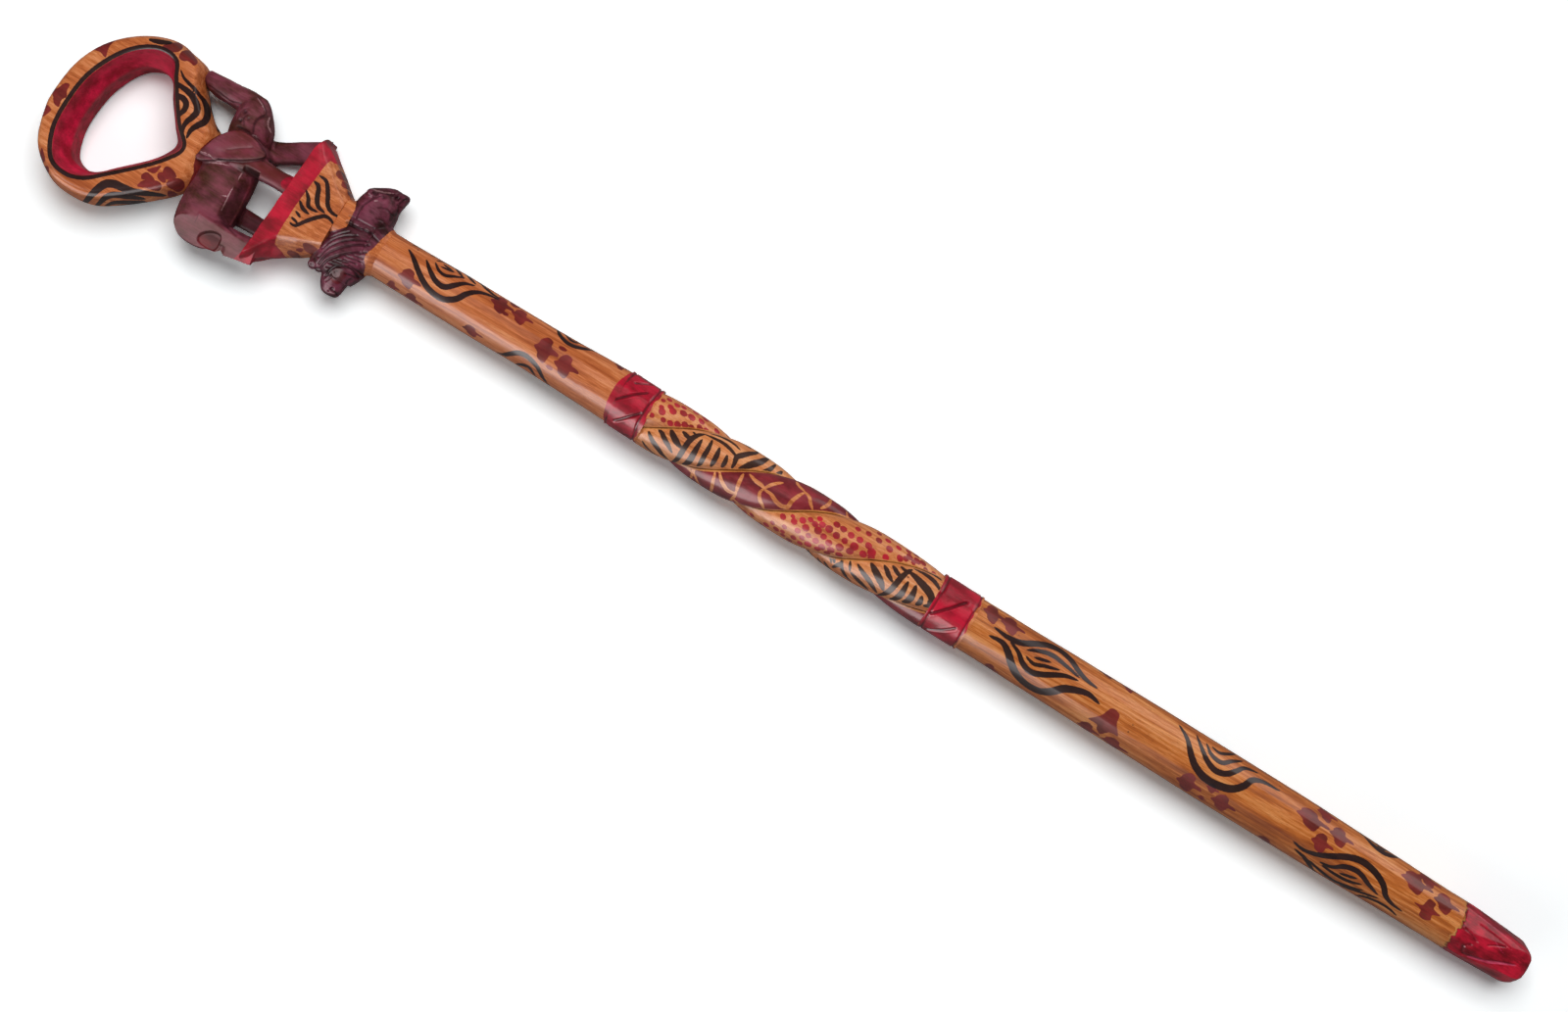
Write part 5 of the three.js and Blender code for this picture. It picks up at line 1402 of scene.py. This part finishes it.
leopard_dots = [
    (5, 365, 2.4), (22, 368.7, 3.2), (29, 367.2, 2.4), (10, 371.5, 2.4), (41, 371.2, 2.8), (36, 373.5, 3.3),
    (13, 375.5, 2.7), (56, 373.5, 2.8), (20, 379.2, 3), (47, 378.7, 3.4), (62, 377.3, 2.6), (29, 382.6, 3),
    (52, 383.5, 3.5), (34, 386.4, 2.8), (47, 390, 2.9), (61, 389, 3), (53, 394, 3), (58, 397, 2.6),
    (-24, 367.8, 2), (57, 368.5, 2.6), (45, 366, 2.2), (-58, 452.8, 2.8), (-50, 449.5, 2.2), (-25, 452.6, 2.8),
    (-53, 456.5, 2.2), (-12, 457, 2), (-40, 456, 2.4), (-19, 459, 2.9), (-63, 457.5, 2.4), (-50, 463, 2.8),
    (-7, 462.6, 3), (-30, 463, 2.7), (-16, 466, 3.2), (3, 466, 2.4), (-38, 467, 2.6), (-54, 467.5, 2.6),
    (0, 469.2, 2.7), (-26, 469.3, 2.5), (15, 470, 2.5), (-44, 471.5, 3.4), (-7, 472.3, 3.4), (7, 472.8, 2.8),
    (-27, 474, 2.9), (-11, 476.5, 2.8), (7, 477, 3.4), (-42, 477, 2.8), (-32, 478.6, 3.2), (23, 479.3, 3),
    (-16, 480.6, 3), (4, 482, 3.1), (-40, 482.6, 2.8), (-27, 483.5, 3.3), (22, 483.6, 3), (-12, 486.7, 3.5),
    (4, 487.3, 2.8), (-28, 488.6, 3.2), (20, 488.7, 3), (40, 490.3, 2.6), (-8, 492.4, 3.2), (5, 493.2, 3.7),
    (22, 494, 3), (2, 499.3, 3.3), (22, 499.6, 3.1), (45, 496.5, 2.8), (6, 504, 3.2), (15, 502.8, 3.8),
    (45, 503, 3), (-29, 496.7, 2.2), (-15, 502.6, 2.2), (24, 510.7, 3), (43, 510.2, 3.2), (60, 507.5, 2.8),
    (42, 517.5, 3), (50, 520.4, 2.6), (61, 514.3, 2.8), (60, 521.8, 3.2), (66, 526.5, 3.4), (56, 525, 2.4),
    (62, 467, 2.5), (72, 520, 2.8), (74, 530, 3), (64, 533, 2.6), (72, 538, 2.8),
]
giraffe_lines = [
    (1.5, [(-84, 399.5), (-62, 399), (-45, 398.5), (-38, 400)]),
    (1.3, [(-84, 406), (-68, 402.5), (-58, 399.5)]),
    (1.6, [(-84, 412.5), (-60, 412), (-40, 410.7), (-24, 409.3)]),
    (1.9, [(-18, 411), (-28, 414), (-35, 417), (-39.5, 420), (-37.5, 423), (-33, 425)]),
    (1.4, [(-64, 423.8), (-48, 424.5), (-35, 425)]),
    (1.7, [(-33, 424.6), (-20, 423.6), (-5, 423), (8, 422.8)]),
    (1.7, [(14, 425.5), (8, 430), (7, 434), (4, 436.5)]),
    (1.5, [(4, 436.2), (15, 438), (25, 440.3), (36, 443.5)]),
    (1.6, [(4, 436), (-8, 435.5), (-18, 437.2), (-27, 440), (-36, 441.8)]),
    (2.0, [(3, 436.5), (2, 441), (-4, 445), (-6.5, 449), (-1, 452), (12, 452.3), (30, 454), (45, 456)]),
    (1.6, [(46, 455), (42, 459), (33, 461.3), (25, 464.5)]),
    (1.5, [(46, 456), (52, 451), (61, 449)]),
    (1.6, [(38, 467.5), (56, 470), (84, 470)]),
    (1.5, [(56, 484.5), (70, 483), (84, 480.5)]),
    (1.5, [(-70, 437), (-62, 430), (-50, 425)]),
    (1.4, [(-78, 385), (-66, 391), (-62, 399)]),
    (1.6, [(-52, 528), (-46, 529), (-40, 532)]),
]

SEAM_BROWN = (srgb(70, 34, 14), srgb(112, 60, 24))
GIRAFFE_BROWN = (srgb(92, 10, 26), srgb(150, 40, 54))
STRAND_TAN = (srgb(166, 86, 42), srgb(214, 130, 74), srgb(238, 168, 116))
groove_coats = [("ochre", OCHRE, 0.8, 0.8), ("seam", SEAM_BROWN, 0.5, 0.85)]
strand_coats = {
    "leopard": ("crimson", CRIMSON, 0.5, 0.93), "zebra": ("black", BLACK, 0.6, 0.95),
    "giraffe": ("maroon", GIRAFFE_BROWN, 0.5, 0.97),
}
strand_materials = {
    kind: painted_wood(kind + "_strand", [coat] + groove_coats, tan=STRAND_TAN)
    for kind, coat in strand_coats.items()
}
strand_sizes = {
    "Length": TWIST_LENGTH, "Radius": TWIST_RADIUS, "Groove": STRAND_GROOVE, "Lead": TWIST_LEAD,
    "Gap": STRAND_GAP, "Slack Length": SLACK_LENGTH, "From": TWIST_AT + CANE_CORNER[0],
    "Axis From": axis_at(TWIST_AT), "Axis To": axis_at(TWIST_AT + TWIST_LENGTH),
    "Across": CANE_CORNER[1], "Up": CANE_CORNER[2],
}
strand_values = {label: float(size) / PER_METRE for label, size in strand_sizes.items()}
strand_values |= {"Slack Turn": math.radians(SLACK_TURN), "Rows": STRAND_ROWS, "Columns": STRAND_COLUMNS}
strand_maker = strand_tree()
zebra_marks = repeated(zebra_bars + zebra_bars_lower, BAR_ROOM)
dot_marks = repeated([(d, [(a, s)]) for a, s, d in leopard_dots], DOT_ROOM)
giraffe_net = giraffe_lines + screwed(giraffe_lines[:10], 1) + screwed(giraffe_lines[3:], -1)
DOT_ACROSS, DOT_DOWN = 0.62, 0.7
BAR_THINNED, NET_THINNED, NET_SHRUNK = 0.95, 0.836, 0.1
OCHRE_EDGE, SEAM_EDGE, NET_EDGE = 1.1, 0.4, 1.3

for kind, share in strand_shares.items():
    strand = grown("twist_" + kind, strand_maker, strand_values | {
        "Start": 2 * math.pi * strand_starts[kind], "Spread": 2 * math.pi * share,
        "Material": strand_materials[kind],
    })
    points = points_of(strand.data)
    place = round_stick(points)
    slack = np.clip((points[:, 0] - TWIST_AT - TWIST_LENGTH + SLACK_LENGTH) / SLACK_LENGTH, 0, 1) ** SLACK_POWER
    winding = (points[:, 0] - TWIST_AT) / TWIST_LEAD + strand_starts[kind] - slack * SLACK_TURN / 360
    across = ((place[:, 0] / STICK_ROUND - winding) % 1) / share
    edge = np.where(across > 1, 0, np.minimum(across, 1 - across) * share * STICK_ROUND)
    layers = {"ochre": edge - OCHRE_EDGE, "seam": edge - SEAM_EDGE}
    if kind == "leopard":
        dots = [unrolled(middle)[0] + dot * [DOT_ACROSS * d, DOT_DOWN * d] for d, middle in dot_marks]
        layers["crimson"] = spotted(place, dots, STICK_ROUND)
    elif kind == "zebra":
        layers["black"] = brushed(place, stick_strokes(zebra_marks, BAR_THINNED), STICK_ROUND)
    else:
        net_gap = brushed(place, stick_strokes(giraffe_net, NET_THINNED), STICK_ROUND)
        layers["maroon"] = np.maximum(NET_SHRUNK - net_gap, NET_EDGE - edge)
    note(strand, **layers)
    finish_piece(strand, strand_materials[kind], ["twist_" + kind + "_strand"])

# A crimson band closes the twist at each end. It is part of the stick, with a line cut round it near
# its edges and slanting knife cuts across it, and its paint is chipped back to the wood at the rims.
BAND_WIDTH = 32.4
BURR_AT, BURR_HEIGHT = 1.2, 0.12
UNCUT_RIM = 0.1
HOLLOW_PER_DEPTH = 2.2
band_cuts = {
    "upper_crimson_band": [
        (0.9, 1.5, [(-180, 346.5), (-140, 347.2), (-90, 345.5), (-55, 344.2), (-20, 343.2), (20, 343.5),
                    (60, 345), (110, 346.5), (180, 346.5)]),
        (0.9, 1.4, [(-180, 362), (-120, 361.5), (-60, 361.8), (-20, 360.6), (20, 360.8), (60, 361.8),
                    (120, 361.5), (180, 362)]),
        (1.1, 1.9, [(-50, 349), (-38, 351.5), (-20, 355.5), (-4, 359.5)]),
        (1.1, 1.7, [(-10, 343.5), (5, 347.5), (22, 352), (39, 356.8)]),
        (1.0, 1.6, [(44, 348.5), (56, 352.5), (72, 357)]),
        (1.0, 1.6, [(-88, 349), (-78, 354), (-66, 359)]),
        (1.0, 1.6, [(95, 348), (115, 353), (135, 358)]),
        (1.0, 1.6, [(150, 347), (172, 353), (190, 358)]),
        (1.0, 1.6, [(205, 348), (222, 353), (240, 358)]),
    ],
    "lower_crimson_band": [
        (0.8, 1.3, [(-180, 546), (-120, 546.5), (-60, 546.2), (-20, 545.7), (20, 546), (80, 546.3), (180, 546)]),
        (0.8, 1.2, [(-180, 565.8), (-100, 566.3), (-40, 566.2), (0, 565.4), (50, 566.2), (110, 566.5), (180, 565.8)]),
        (1.2, 2.0, [(-24, 546.5), (-8, 550.5), (12, 555.5), (33, 560)]),
        (1.1, 1.9, [(-66, 549.5), (-52, 554), (-38, 558), (-24, 561.5)]),
        (1.0, 1.7, [(70, 549), (90, 554), (112, 560)]),
        (1.0, 1.7, [(140, 548), (162, 554), (185, 561)]),
        (1.0, 1.7, [(215, 548), (235, 554), (255, 560)]),
    ],
}


def cut_band(name, start, length, top, bottom):
    """Crimson length of stick with lines cut into it, and rims chipped bare at its top and bottom"""
    band = carved(name, *skin(stick_rings(start, length, [(share, BAND_WIDTH) for share in (0, 0.5, 1)])))
    points = points_of(band.data)
    place = round_stick(points)
    depth = np.zeros(len(points))
    for deep, width, line in band_cuts[name]:
        # A line of many points runs right round the band already
        gap = gap_to_line(place, unrolled(line), None if len(line) > 5 else STICK_ROUND)
        depth = np.maximum(depth, v_cut(gap, width, deep))
    # The knife raises a burr beside the slanting cuts on the front
    raised = sum(
        smoothstep(0.9, 0.2, abs(gap_to_line(place, unrolled(line)) - BURR_AT)) * BURR_HEIGHT
        for _, _, line in band_cuts[name][2:5]
    )
    inner = (points[:, 0] > start + UNCUT_RIM) & (points[:, 0] < start + length - UNCUT_RIM)
    move_points(band, points - normals_of(band.data) * ((depth - raised) * inner)[:, None])
    chips = 0.5 * np.sin(place[:, 0] / 3.1) + 0.4 * np.sin(place[:, 0] / 1.3 + 2)
    # The paint is darker in the cuts, the deeper the cut
    note(
        band,
        crimson=np.maximum(start + top - place[:, 1], place[:, 1] - (start + length - bottom)) + chips,
        hollow=np.clip(HOLLOW_PER_DEPTH * depth, 0, 1),
    )
    return band


band_lacquer = painted_wood("band_lacquer", [("crimson", CRIMSON, 0.9, 0.98)], hollows=True)
upper_band = cut_band("upper_crimson_band", start=344, length=20, top=-3, bottom=0.6)
finish_piece(upper_band, band_lacquer, ["upper_band"])
lower_band = cut_band("lower_crimson_band", start=544, length=24, top=-0.5, bottom=1.3)
finish_piece(lower_band, band_lacquer, ["lower_band"])

# The lower shaft is the longest length of the stick, a little thicker at first and thinning towards
# the tip. It is the same tan lacquered wood, painted with three zebra eyes and clusters of spots.
eye_first = [
    (4.0, [(0, 579), (2, 587), (-8, 592), (-25, 597), (-42, 603), (-50, 611), (-45, 618), (-30, 623), (-13, 627),
           (-2, 633), (5, 640), (0, 648)]),
    (3.4, [(20, 579), (17, 588), (22, 596), (38, 603), (53, 610), (58, 617), (50, 624), (38, 629), (28, 635),
           (24, 643)]),
    (2.7, [(13, 590), (2, 597), (-12, 602), (-18, 608), (-10, 614), (3, 620), (12, 625), (17, 632)]),
    (2.4, [(15, 600), (28, 607), (35, 614), (31, 622), (23, 632)]),
    (1.8, [(4, 601), (-1, 607), (7, 613), (16, 621)]),
    (1.5, [(10, 605), (20, 615)]),
]
eye_second = [
    (3.4, [(55, 691), (36, 697.5), (12, 703), (-5, 709), (-14, 717), (-12, 725), (-4, 731.5), (12, 736),
           (32, 739), (42, 744.5), (45, 755)]),
    (2.6, [(57, 702), (38, 706), (18, 712), (9, 719), (15, 725), (30, 729), (48, 733), (56, 741)]),
    (2.2, [(52, 708.5), (33, 713), (29, 720), (45, 725), (63, 731)]),
    (1.8, [(51, 712), (47, 717), (58, 722), (73, 726.5)]),
]
eye_third = [
    (3.0, [(-28, 774), (-33, 781), (-27, 788), (-12, 796), (2, 803), (10, 811), (5, 820), (-8, 827),
           (-25, 831.5), (-34, 837), (-37, 844)]),
    (2.4, [(-38, 792), (-33, 799), (-18, 804), (-12, 812), (-24, 821), (-33, 828)]),
    (2.0, [(-42, 794), (-45, 803), (-42, 811), (-31, 818)]),
    (1.6, [(-37, 804), (-25, 814)]),
    (2.2, [(-48, 787), (-60, 797), (-65, 805), (-58, 812), (-42, 821)]),
    (1.8, [(-71, 809), (-55, 818), (-39, 830)]),
    (2.2, [(-42, 777), (-50, 785), (-65, 791), (-82, 797)]),
    (1.8, [(-82, 820), (-62, 822), (-50, 830), (-50, 838), (-58, 844)]),
]
eye_fourth = [
    (2.8, [(82, 804), (60, 813), (56, 820), (65, 826), (82, 831)]),
    (2.0, [(84, 811), (70, 816), (68, 820), (84, 825)]),
]
lower_spots = [
    (23, 71, 569.5, 583), (24, 67, 580.5, 595.5), (-84, -55, 585, 595), (-84, -47, 644, 658),
    (-84, -45, 659, 676), (-70, -19, 704, 719), (-66, -52, 719, 725), (-34, -14, 719, 727), (-62, -21, 725, 740),
    (-84, -58, 757, 771), (8, 49, 767, 788), (-21, 16, 781, 794.5), (9, 49, 788, 803), (41, 82, 778, 791),
    (11, 58, 833, 853), (7, 51, 854, 870), (41, 80, 842, 857), (64, 84, 640, 652), (58, 84, 655, 664),
]
lower_stars = [(-26, 19, 845.5, 862)]
lower_bells = [(-58, 7, 647.5, 665.5)]
bell_spot = np.array([
    (1, -0.1), (0.95, 0.3), (0.3, 0.55), (-0.2, 0.95), (-0.35, 1), (-0.4, 0.55), (-0.7, 0.3), (-1, 0.1),
    (-0.75, -0.25), (-0.42, -0.45), (-0.4, -1), (-0.2, -0.9), (0.3, -0.5),
])
behind_strokes = turned(eye_first, 180, 6) + turned(eye_second, 185, 10) + turned(eye_third, 200, -6)
behind_lower = [(a + 180, b + 180, s + 8, e + 8) for a, b, s, e in lower_spots if abs(a + b) < 110 and e < 860]
rim_points = [
    (-48, 874), (-24, 876), (-14, 874.4), (-7, 873.2), (0, 874), (5, 875), (12, 873.6), (24, 873.6), (48, 874),
]
OCHRE_WIDTH = 1.4


def crimson_rim(place):
    """Station where the tip's crimson begins, which wanders round the stick and is chipped"""
    around, down = place.T
    wander = np.interp(around, *np.array(rim_points).T)
    return wander + 0.5 * np.sin(around / 0.9) + 0.4 * np.sin(around / 0.43 + 1) + 0.3 * np.sin(down * 2 + around)


lower_widths = [(0, 30.6), (0.25, 32.2), (0.7, 32.2), (1, 28.8)]
lower_shaft = carved("lower_stick", *skin(stick_rings(start=568, length=305, widths=lower_widths)))
place = round_stick(points_of(lower_shaft.data))
marks = eye_first + eye_second + eye_third + eye_fourth
marks += turned(eye_second, 145, mirror=True) + turned(eye_fourth, 165, mirror=True) + behind_strokes
spots = leopard_spots(lower_spots + behind_lower)
spots += leopard_spots(lower_stars, star_spot) + leopard_spots(lower_bells, bell_spot)
rim_gap = crimson_rim(place) - place[:, 1]
note(
    lower_shaft,
    black=brushed(place, stick_strokes(marks, 0.9), STICK_ROUND),
    maroon=spotted(place, spots, STICK_ROUND),
    crimson=rim_gap,
    ochre=rim_gap - OCHRE_WIDTH,
)
GOLDEN_TAN = (srgb(128, 56, 18), srgb(196, 108, 44), srgb(232, 158, 94))
lower_lacquer = painted_wood("lower_lacquer", [
    ("maroon", MAROON, 0.7, 0.93), ("ochre", OCHRE, 1.2, 0.9), ("crimson", CRIMSON, 0.9, 0.97),
    ("black", BLACK, 0.5, 0.97),
], tan=GOLDEN_TAN)
finish_piece(lower_shaft, lower_lacquer, ["lower_shaft"])

# The tip is hewn down with a knife in long slanting flats, rounded over at the end, and painted
# crimson. The flats meet in ridges where the paint has worn thin, and a painted highlight of paler pink lies along
# them.
TIP_AT, TIP_LENGTH, TIP_ROUNDING, TIP_ROWS, TIP_STEEPEST = 873, 46, 8, 84, 0.3
SHAFT_REACH, TIP_SPREAD, TIP_END_REACH, TIP_BLEND = 14.4, 2.4, 6.5, 0.05
UNCUT_END = 1
tip_flats = [
    (-78, 14.3, 12.3), (-42, 14.2, 12.8), (-12, 14.6, 10.4), (29, 13.0, 12.2), (62, 14.5, 10.9), (96, 14.0, 12.4),
    (135, 14.4, 11.2), (172, 13.9, 12.2), (212, 14.4, 10.8), (248, 14.0, 12.6), (5, 15.2, 9.9), (-60, 15.6, 11.2),
    (75, 15.4, 10.2), (190, 15.6, 10.4),
]
tip_cuts = [
    (0.9, 2.2, [(-52, 884), (-44, 890), (-34, 896), (-20, 903), (-8, 910)]),
    (0.8, 1.8, [(5, 877), (0, 882), (-8, 886)]),
    (0.9, 1.6, [(0, 892), (10, 896), (20, 901)]),
    (0.7, 2.6, [(-48, 883), (-30, 881), (-20, 884)]),
    (0.6, 1.4, [(34, 884), (30, 893), (24, 904)]),
    (0.8, 2.0, [(120, 884), (135, 892), (150, 902)]),
    (0.8, 2.0, [(-140, 882), (-125, 893), (-110, 903)]),
]
worn_ridges = [
    (1.3, [(-53, 886.5), (-43, 892), (-33, 898), (-19, 905), (-6, 911.5)]),
    (0.5, [(24, 891), (14, 896), (6, 900), (2, 903)]), (0.5, [(52, 880), (48, 892), (44, 906)]),
    (0.6, [(140, 880), (150, 896), (160, 909)]), (0.6, [(-120, 880), (-112, 893), (-100, 906)]),
]


def tip_rings():
    """Rings inside a set of flat cuts that close in down the tip"""
    share = np.linspace(0, 1, TIP_ROWS)
    angle = np.linspace(0, 2 * np.pi, STICK_STEPS, endpoint=False)
    shaft_reach = SHAFT_REACH * facet_reach(angle, FACETS, FACET_SHARE)[None, :]
    reach = shaft_reach + TIP_SPREAD * share[:, None]
    for bearing, start, end in tip_flats:
        away = np.maximum(np.cos(angle - math.radians(bearing)), TIP_STEEPEST)
        reach = np.minimum(reach, (start + (end - start) * share)[:, None] / away)
    blend = smoothstep(0, TIP_BLEND, share)[:, None]
    reach = shaft_reach * (1 - blend) + reach * blend
    over = np.clip(TIP_LENGTH * share - TIP_LENGTH + TIP_ROUNDING, 0, TIP_ROUNDING) / TIP_ROUNDING
    reach = reach - (1 - np.sqrt(1 - over**2))[:, None] * (reach - TIP_END_REACH)
    rings = rings_round(TIP_AT + TIP_LENGTH * share, reach, angle)
    middle = np.array([STICK_STATIONS[-1], STICK_AXIS[-1], 0.0])
    inner = [rings[-1] + (middle - rings[-1]) * closing for closing in (0.25, 0.5, 0.75)]
    return np.concatenate([rings, inner])


tip = carved("hewn_tip", *skin(tip_rings()), crease=28)
points = points_of(tip.data)
place = round_stick(points)
depth = np.zeros(len(points))
for deep, width, line in tip_cuts:
    depth = np.maximum(depth, v_cut(gap_to_line(place, unrolled(line), STICK_ROUND), width, deep))
away_from_end = (points[:, 0] > TIP_AT + UNCUT_RIM) & (points[:, 0] < STICK_STATIONS[-1] - UNCUT_END)
move_points(tip, points - normals_of(tip.data) * (depth * away_from_end)[:, None])
rim_gap = crimson_rim(place) - place[:, 1]
# The paint is darker in the cuts and along the crimson rim
note(
    tip,
    crimson=rim_gap,
    ochre=rim_gap - OCHRE_WIDTH,
    worn=brushed(place, stick_strokes(worn_ridges, thinned=1), STICK_ROUND),
    hollow=0.9 * np.maximum(np.clip(depth, 0, 1), smoothstep(0.8, 0.2, abs(rim_gap))),
)
# Paler pink along the ridges: worn paint and a painted highlight together
DEEP_CRIMSON = (srgb(104, 0, 20), srgb(214, 14, 56))
WORN_HIGHLIT_CRIMSON = (srgb(176, 30, 66), srgb(226, 84, 120))
tip_lacquer = painted_wood("tip_lacquer", [
    ("ochre", OCHRE, 1.2, 0.9), ("crimson", DEEP_CRIMSON, 0.9, 0.98), ("worn", WORN_HIGHLIT_CRIMSON, 0.6, 0.85),
], hollows=True, roughness=0.35, tan=GOLDEN_TAN)
finish_piece(tip, tip_lacquer, ["tip"])

# The cane lies on a white floor, lit by a large soft light above its right side and a weaker one
# low on its left, which draws the long gleam down the lacquer. The camera looks straight down.
FLOOR_HALF = 3.0
WHITE_FROM, WHITE_BY = 0.55, 0.95
FLOOR_LIT, FLOOR_MIRRORED, FLOOR_SEEN = (0.6, 0.6, 0.6, 1), (0.16, 0.16, 0.16, 1), (1.3, 1.34, 1.35, 1)
ROOM_LIGHT = 0.08
VIEW_ACROSS, VIEW_ALONG, VIEW_HEIGHT = -0.0094, 0.0032, 1.2165
VIEW_TURN, VIEW_LENS, VIEW_SENSOR = 30.9, 51.18, 36


def floor_material():
    """White floor that fades to pure white with distance, and throws little light on the cane"""
    material = bpy.data.materials.new("white_floor")
    material.use_nodes = True
    tree = material.node_tree
    tree.nodes.clear()
    path = add(tree, "ShaderNodeLightPath").outputs
    unseen = mixed(tree, path["Is Glossy Ray"], FLOOR_LIT, FLOOR_MIRRORED)
    colour = mixed(tree, path["Is Camera Ray"], unseen, FLOOR_SEEN)
    lit = add(tree, "ShaderNodeBsdfDiffuse", {"Color": colour}).outputs[0]
    place = add(tree, "ShaderNodeTexCoord").outputs["Object"]
    distance = add(tree, "ShaderNodeVectorMath", {0: place}, operation="LENGTH").outputs["Value"]
    faded = calc(tree, "MULTIPLY", ranged(tree, distance, WHITE_FROM, WHITE_BY), path["Is Camera Ray"])
    white = add(tree, "ShaderNodeEmission", {"Color": (1, 1, 1, 1)}).outputs[0]
    shader = add(tree, "ShaderNodeMixShader", {0: faded, 1: lit, 2: white})
    add(tree, "ShaderNodeOutputMaterial", {"Surface": shader.outputs[0]})
    return material


floor_mesh = bpy.data.meshes.new("floor")
corners = [(FLOOR_HALF * x, FLOOR_HALF * y, 0) for x, y in ((-1, -1), (1, -1), (1, 1), (-1, 1))]
floor_mesh.from_pydata(corners, [], [(0, 1, 2, 3)])
floor_mesh.materials.append(floor_material())
floor = bpy.data.objects.new("floor", floor_mesh)
bpy.context.scene.collection.objects.link(floor)


def soft_light(name, place, aim, size, power):
    """Lamp behind a large sheet, turned towards a place"""
    lamp = bpy.data.lights.new(name, "AREA")
    lamp.shape = "RECTANGLE"
    lamp.size, lamp.size_y = size
    lamp.energy = power
    light = bpy.data.objects.new(name, lamp)
    bpy.context.scene.collection.objects.link(light)
    light.location = place
    direction = Vector(aim) - Vector(place)
    light.rotation_euler = direction.to_track_quat("-Z", "Y").to_euler()
    return light


# Two of the lights brighten the paint, and the other two are only seen as gleams in the lacquer
LEFT_AIM = (-0.15, 0, 0.02)
soft_light("key_light", (-0.15, 0.95, 1.9), (0, 0, 0), (2.0, 1.3), 42).visible_glossy = False
soft_light("left_light", (-0.5, -1.2, 0.62), LEFT_AIM, (1.5, 1.1), 5.5).visible_glossy = False
left_gleam = soft_light("left_gleam", (-0.45, -1.1, 0.78), LEFT_AIM, (1.6, 1.2), 28)
left_gleam.data.color = (1, 0.98, 0.98)
right_gleam = soft_light("right_gleam", (0.8, 1.3, 0.42), (0.3, 0, 0.02), (1.1, 0.8), 4.5)
for gleam in (left_gleam, right_gleam):
    gleam.visible_diffuse = False

world = bpy.data.worlds.new("studio")
world.use_nodes = True
world_tree = world.node_tree
world_tree.nodes.clear()
camera_sees = add(world_tree, "ShaderNodeLightPath").outputs["Is Camera Ray"]
strength = ranged(world_tree, camera_sees, 0.0, 1.0, ROOM_LIGHT, 1.0, smooth=False)
background = add(world_tree, "ShaderNodeBackground", {"Color": (1, 1, 1, 1), "Strength": strength})
add(world_tree, "ShaderNodeOutputWorld", {"Surface": background.outputs[0]})
bpy.context.scene.world = world

camera_data = bpy.data.cameras.new("camera")
camera_data.sensor_width = VIEW_SENSOR
camera_data.lens = VIEW_LENS
camera = bpy.data.objects.new("camera", camera_data)
bpy.context.scene.collection.objects.link(camera)
camera.location = (VIEW_ACROSS, VIEW_ALONG, VIEW_HEIGHT)
camera.rotation_euler = (0, 0, math.radians(VIEW_TURN))
bpy.context.scene.camera = camera
bpy.context.scene.view_settings.view_transform = "Standard"
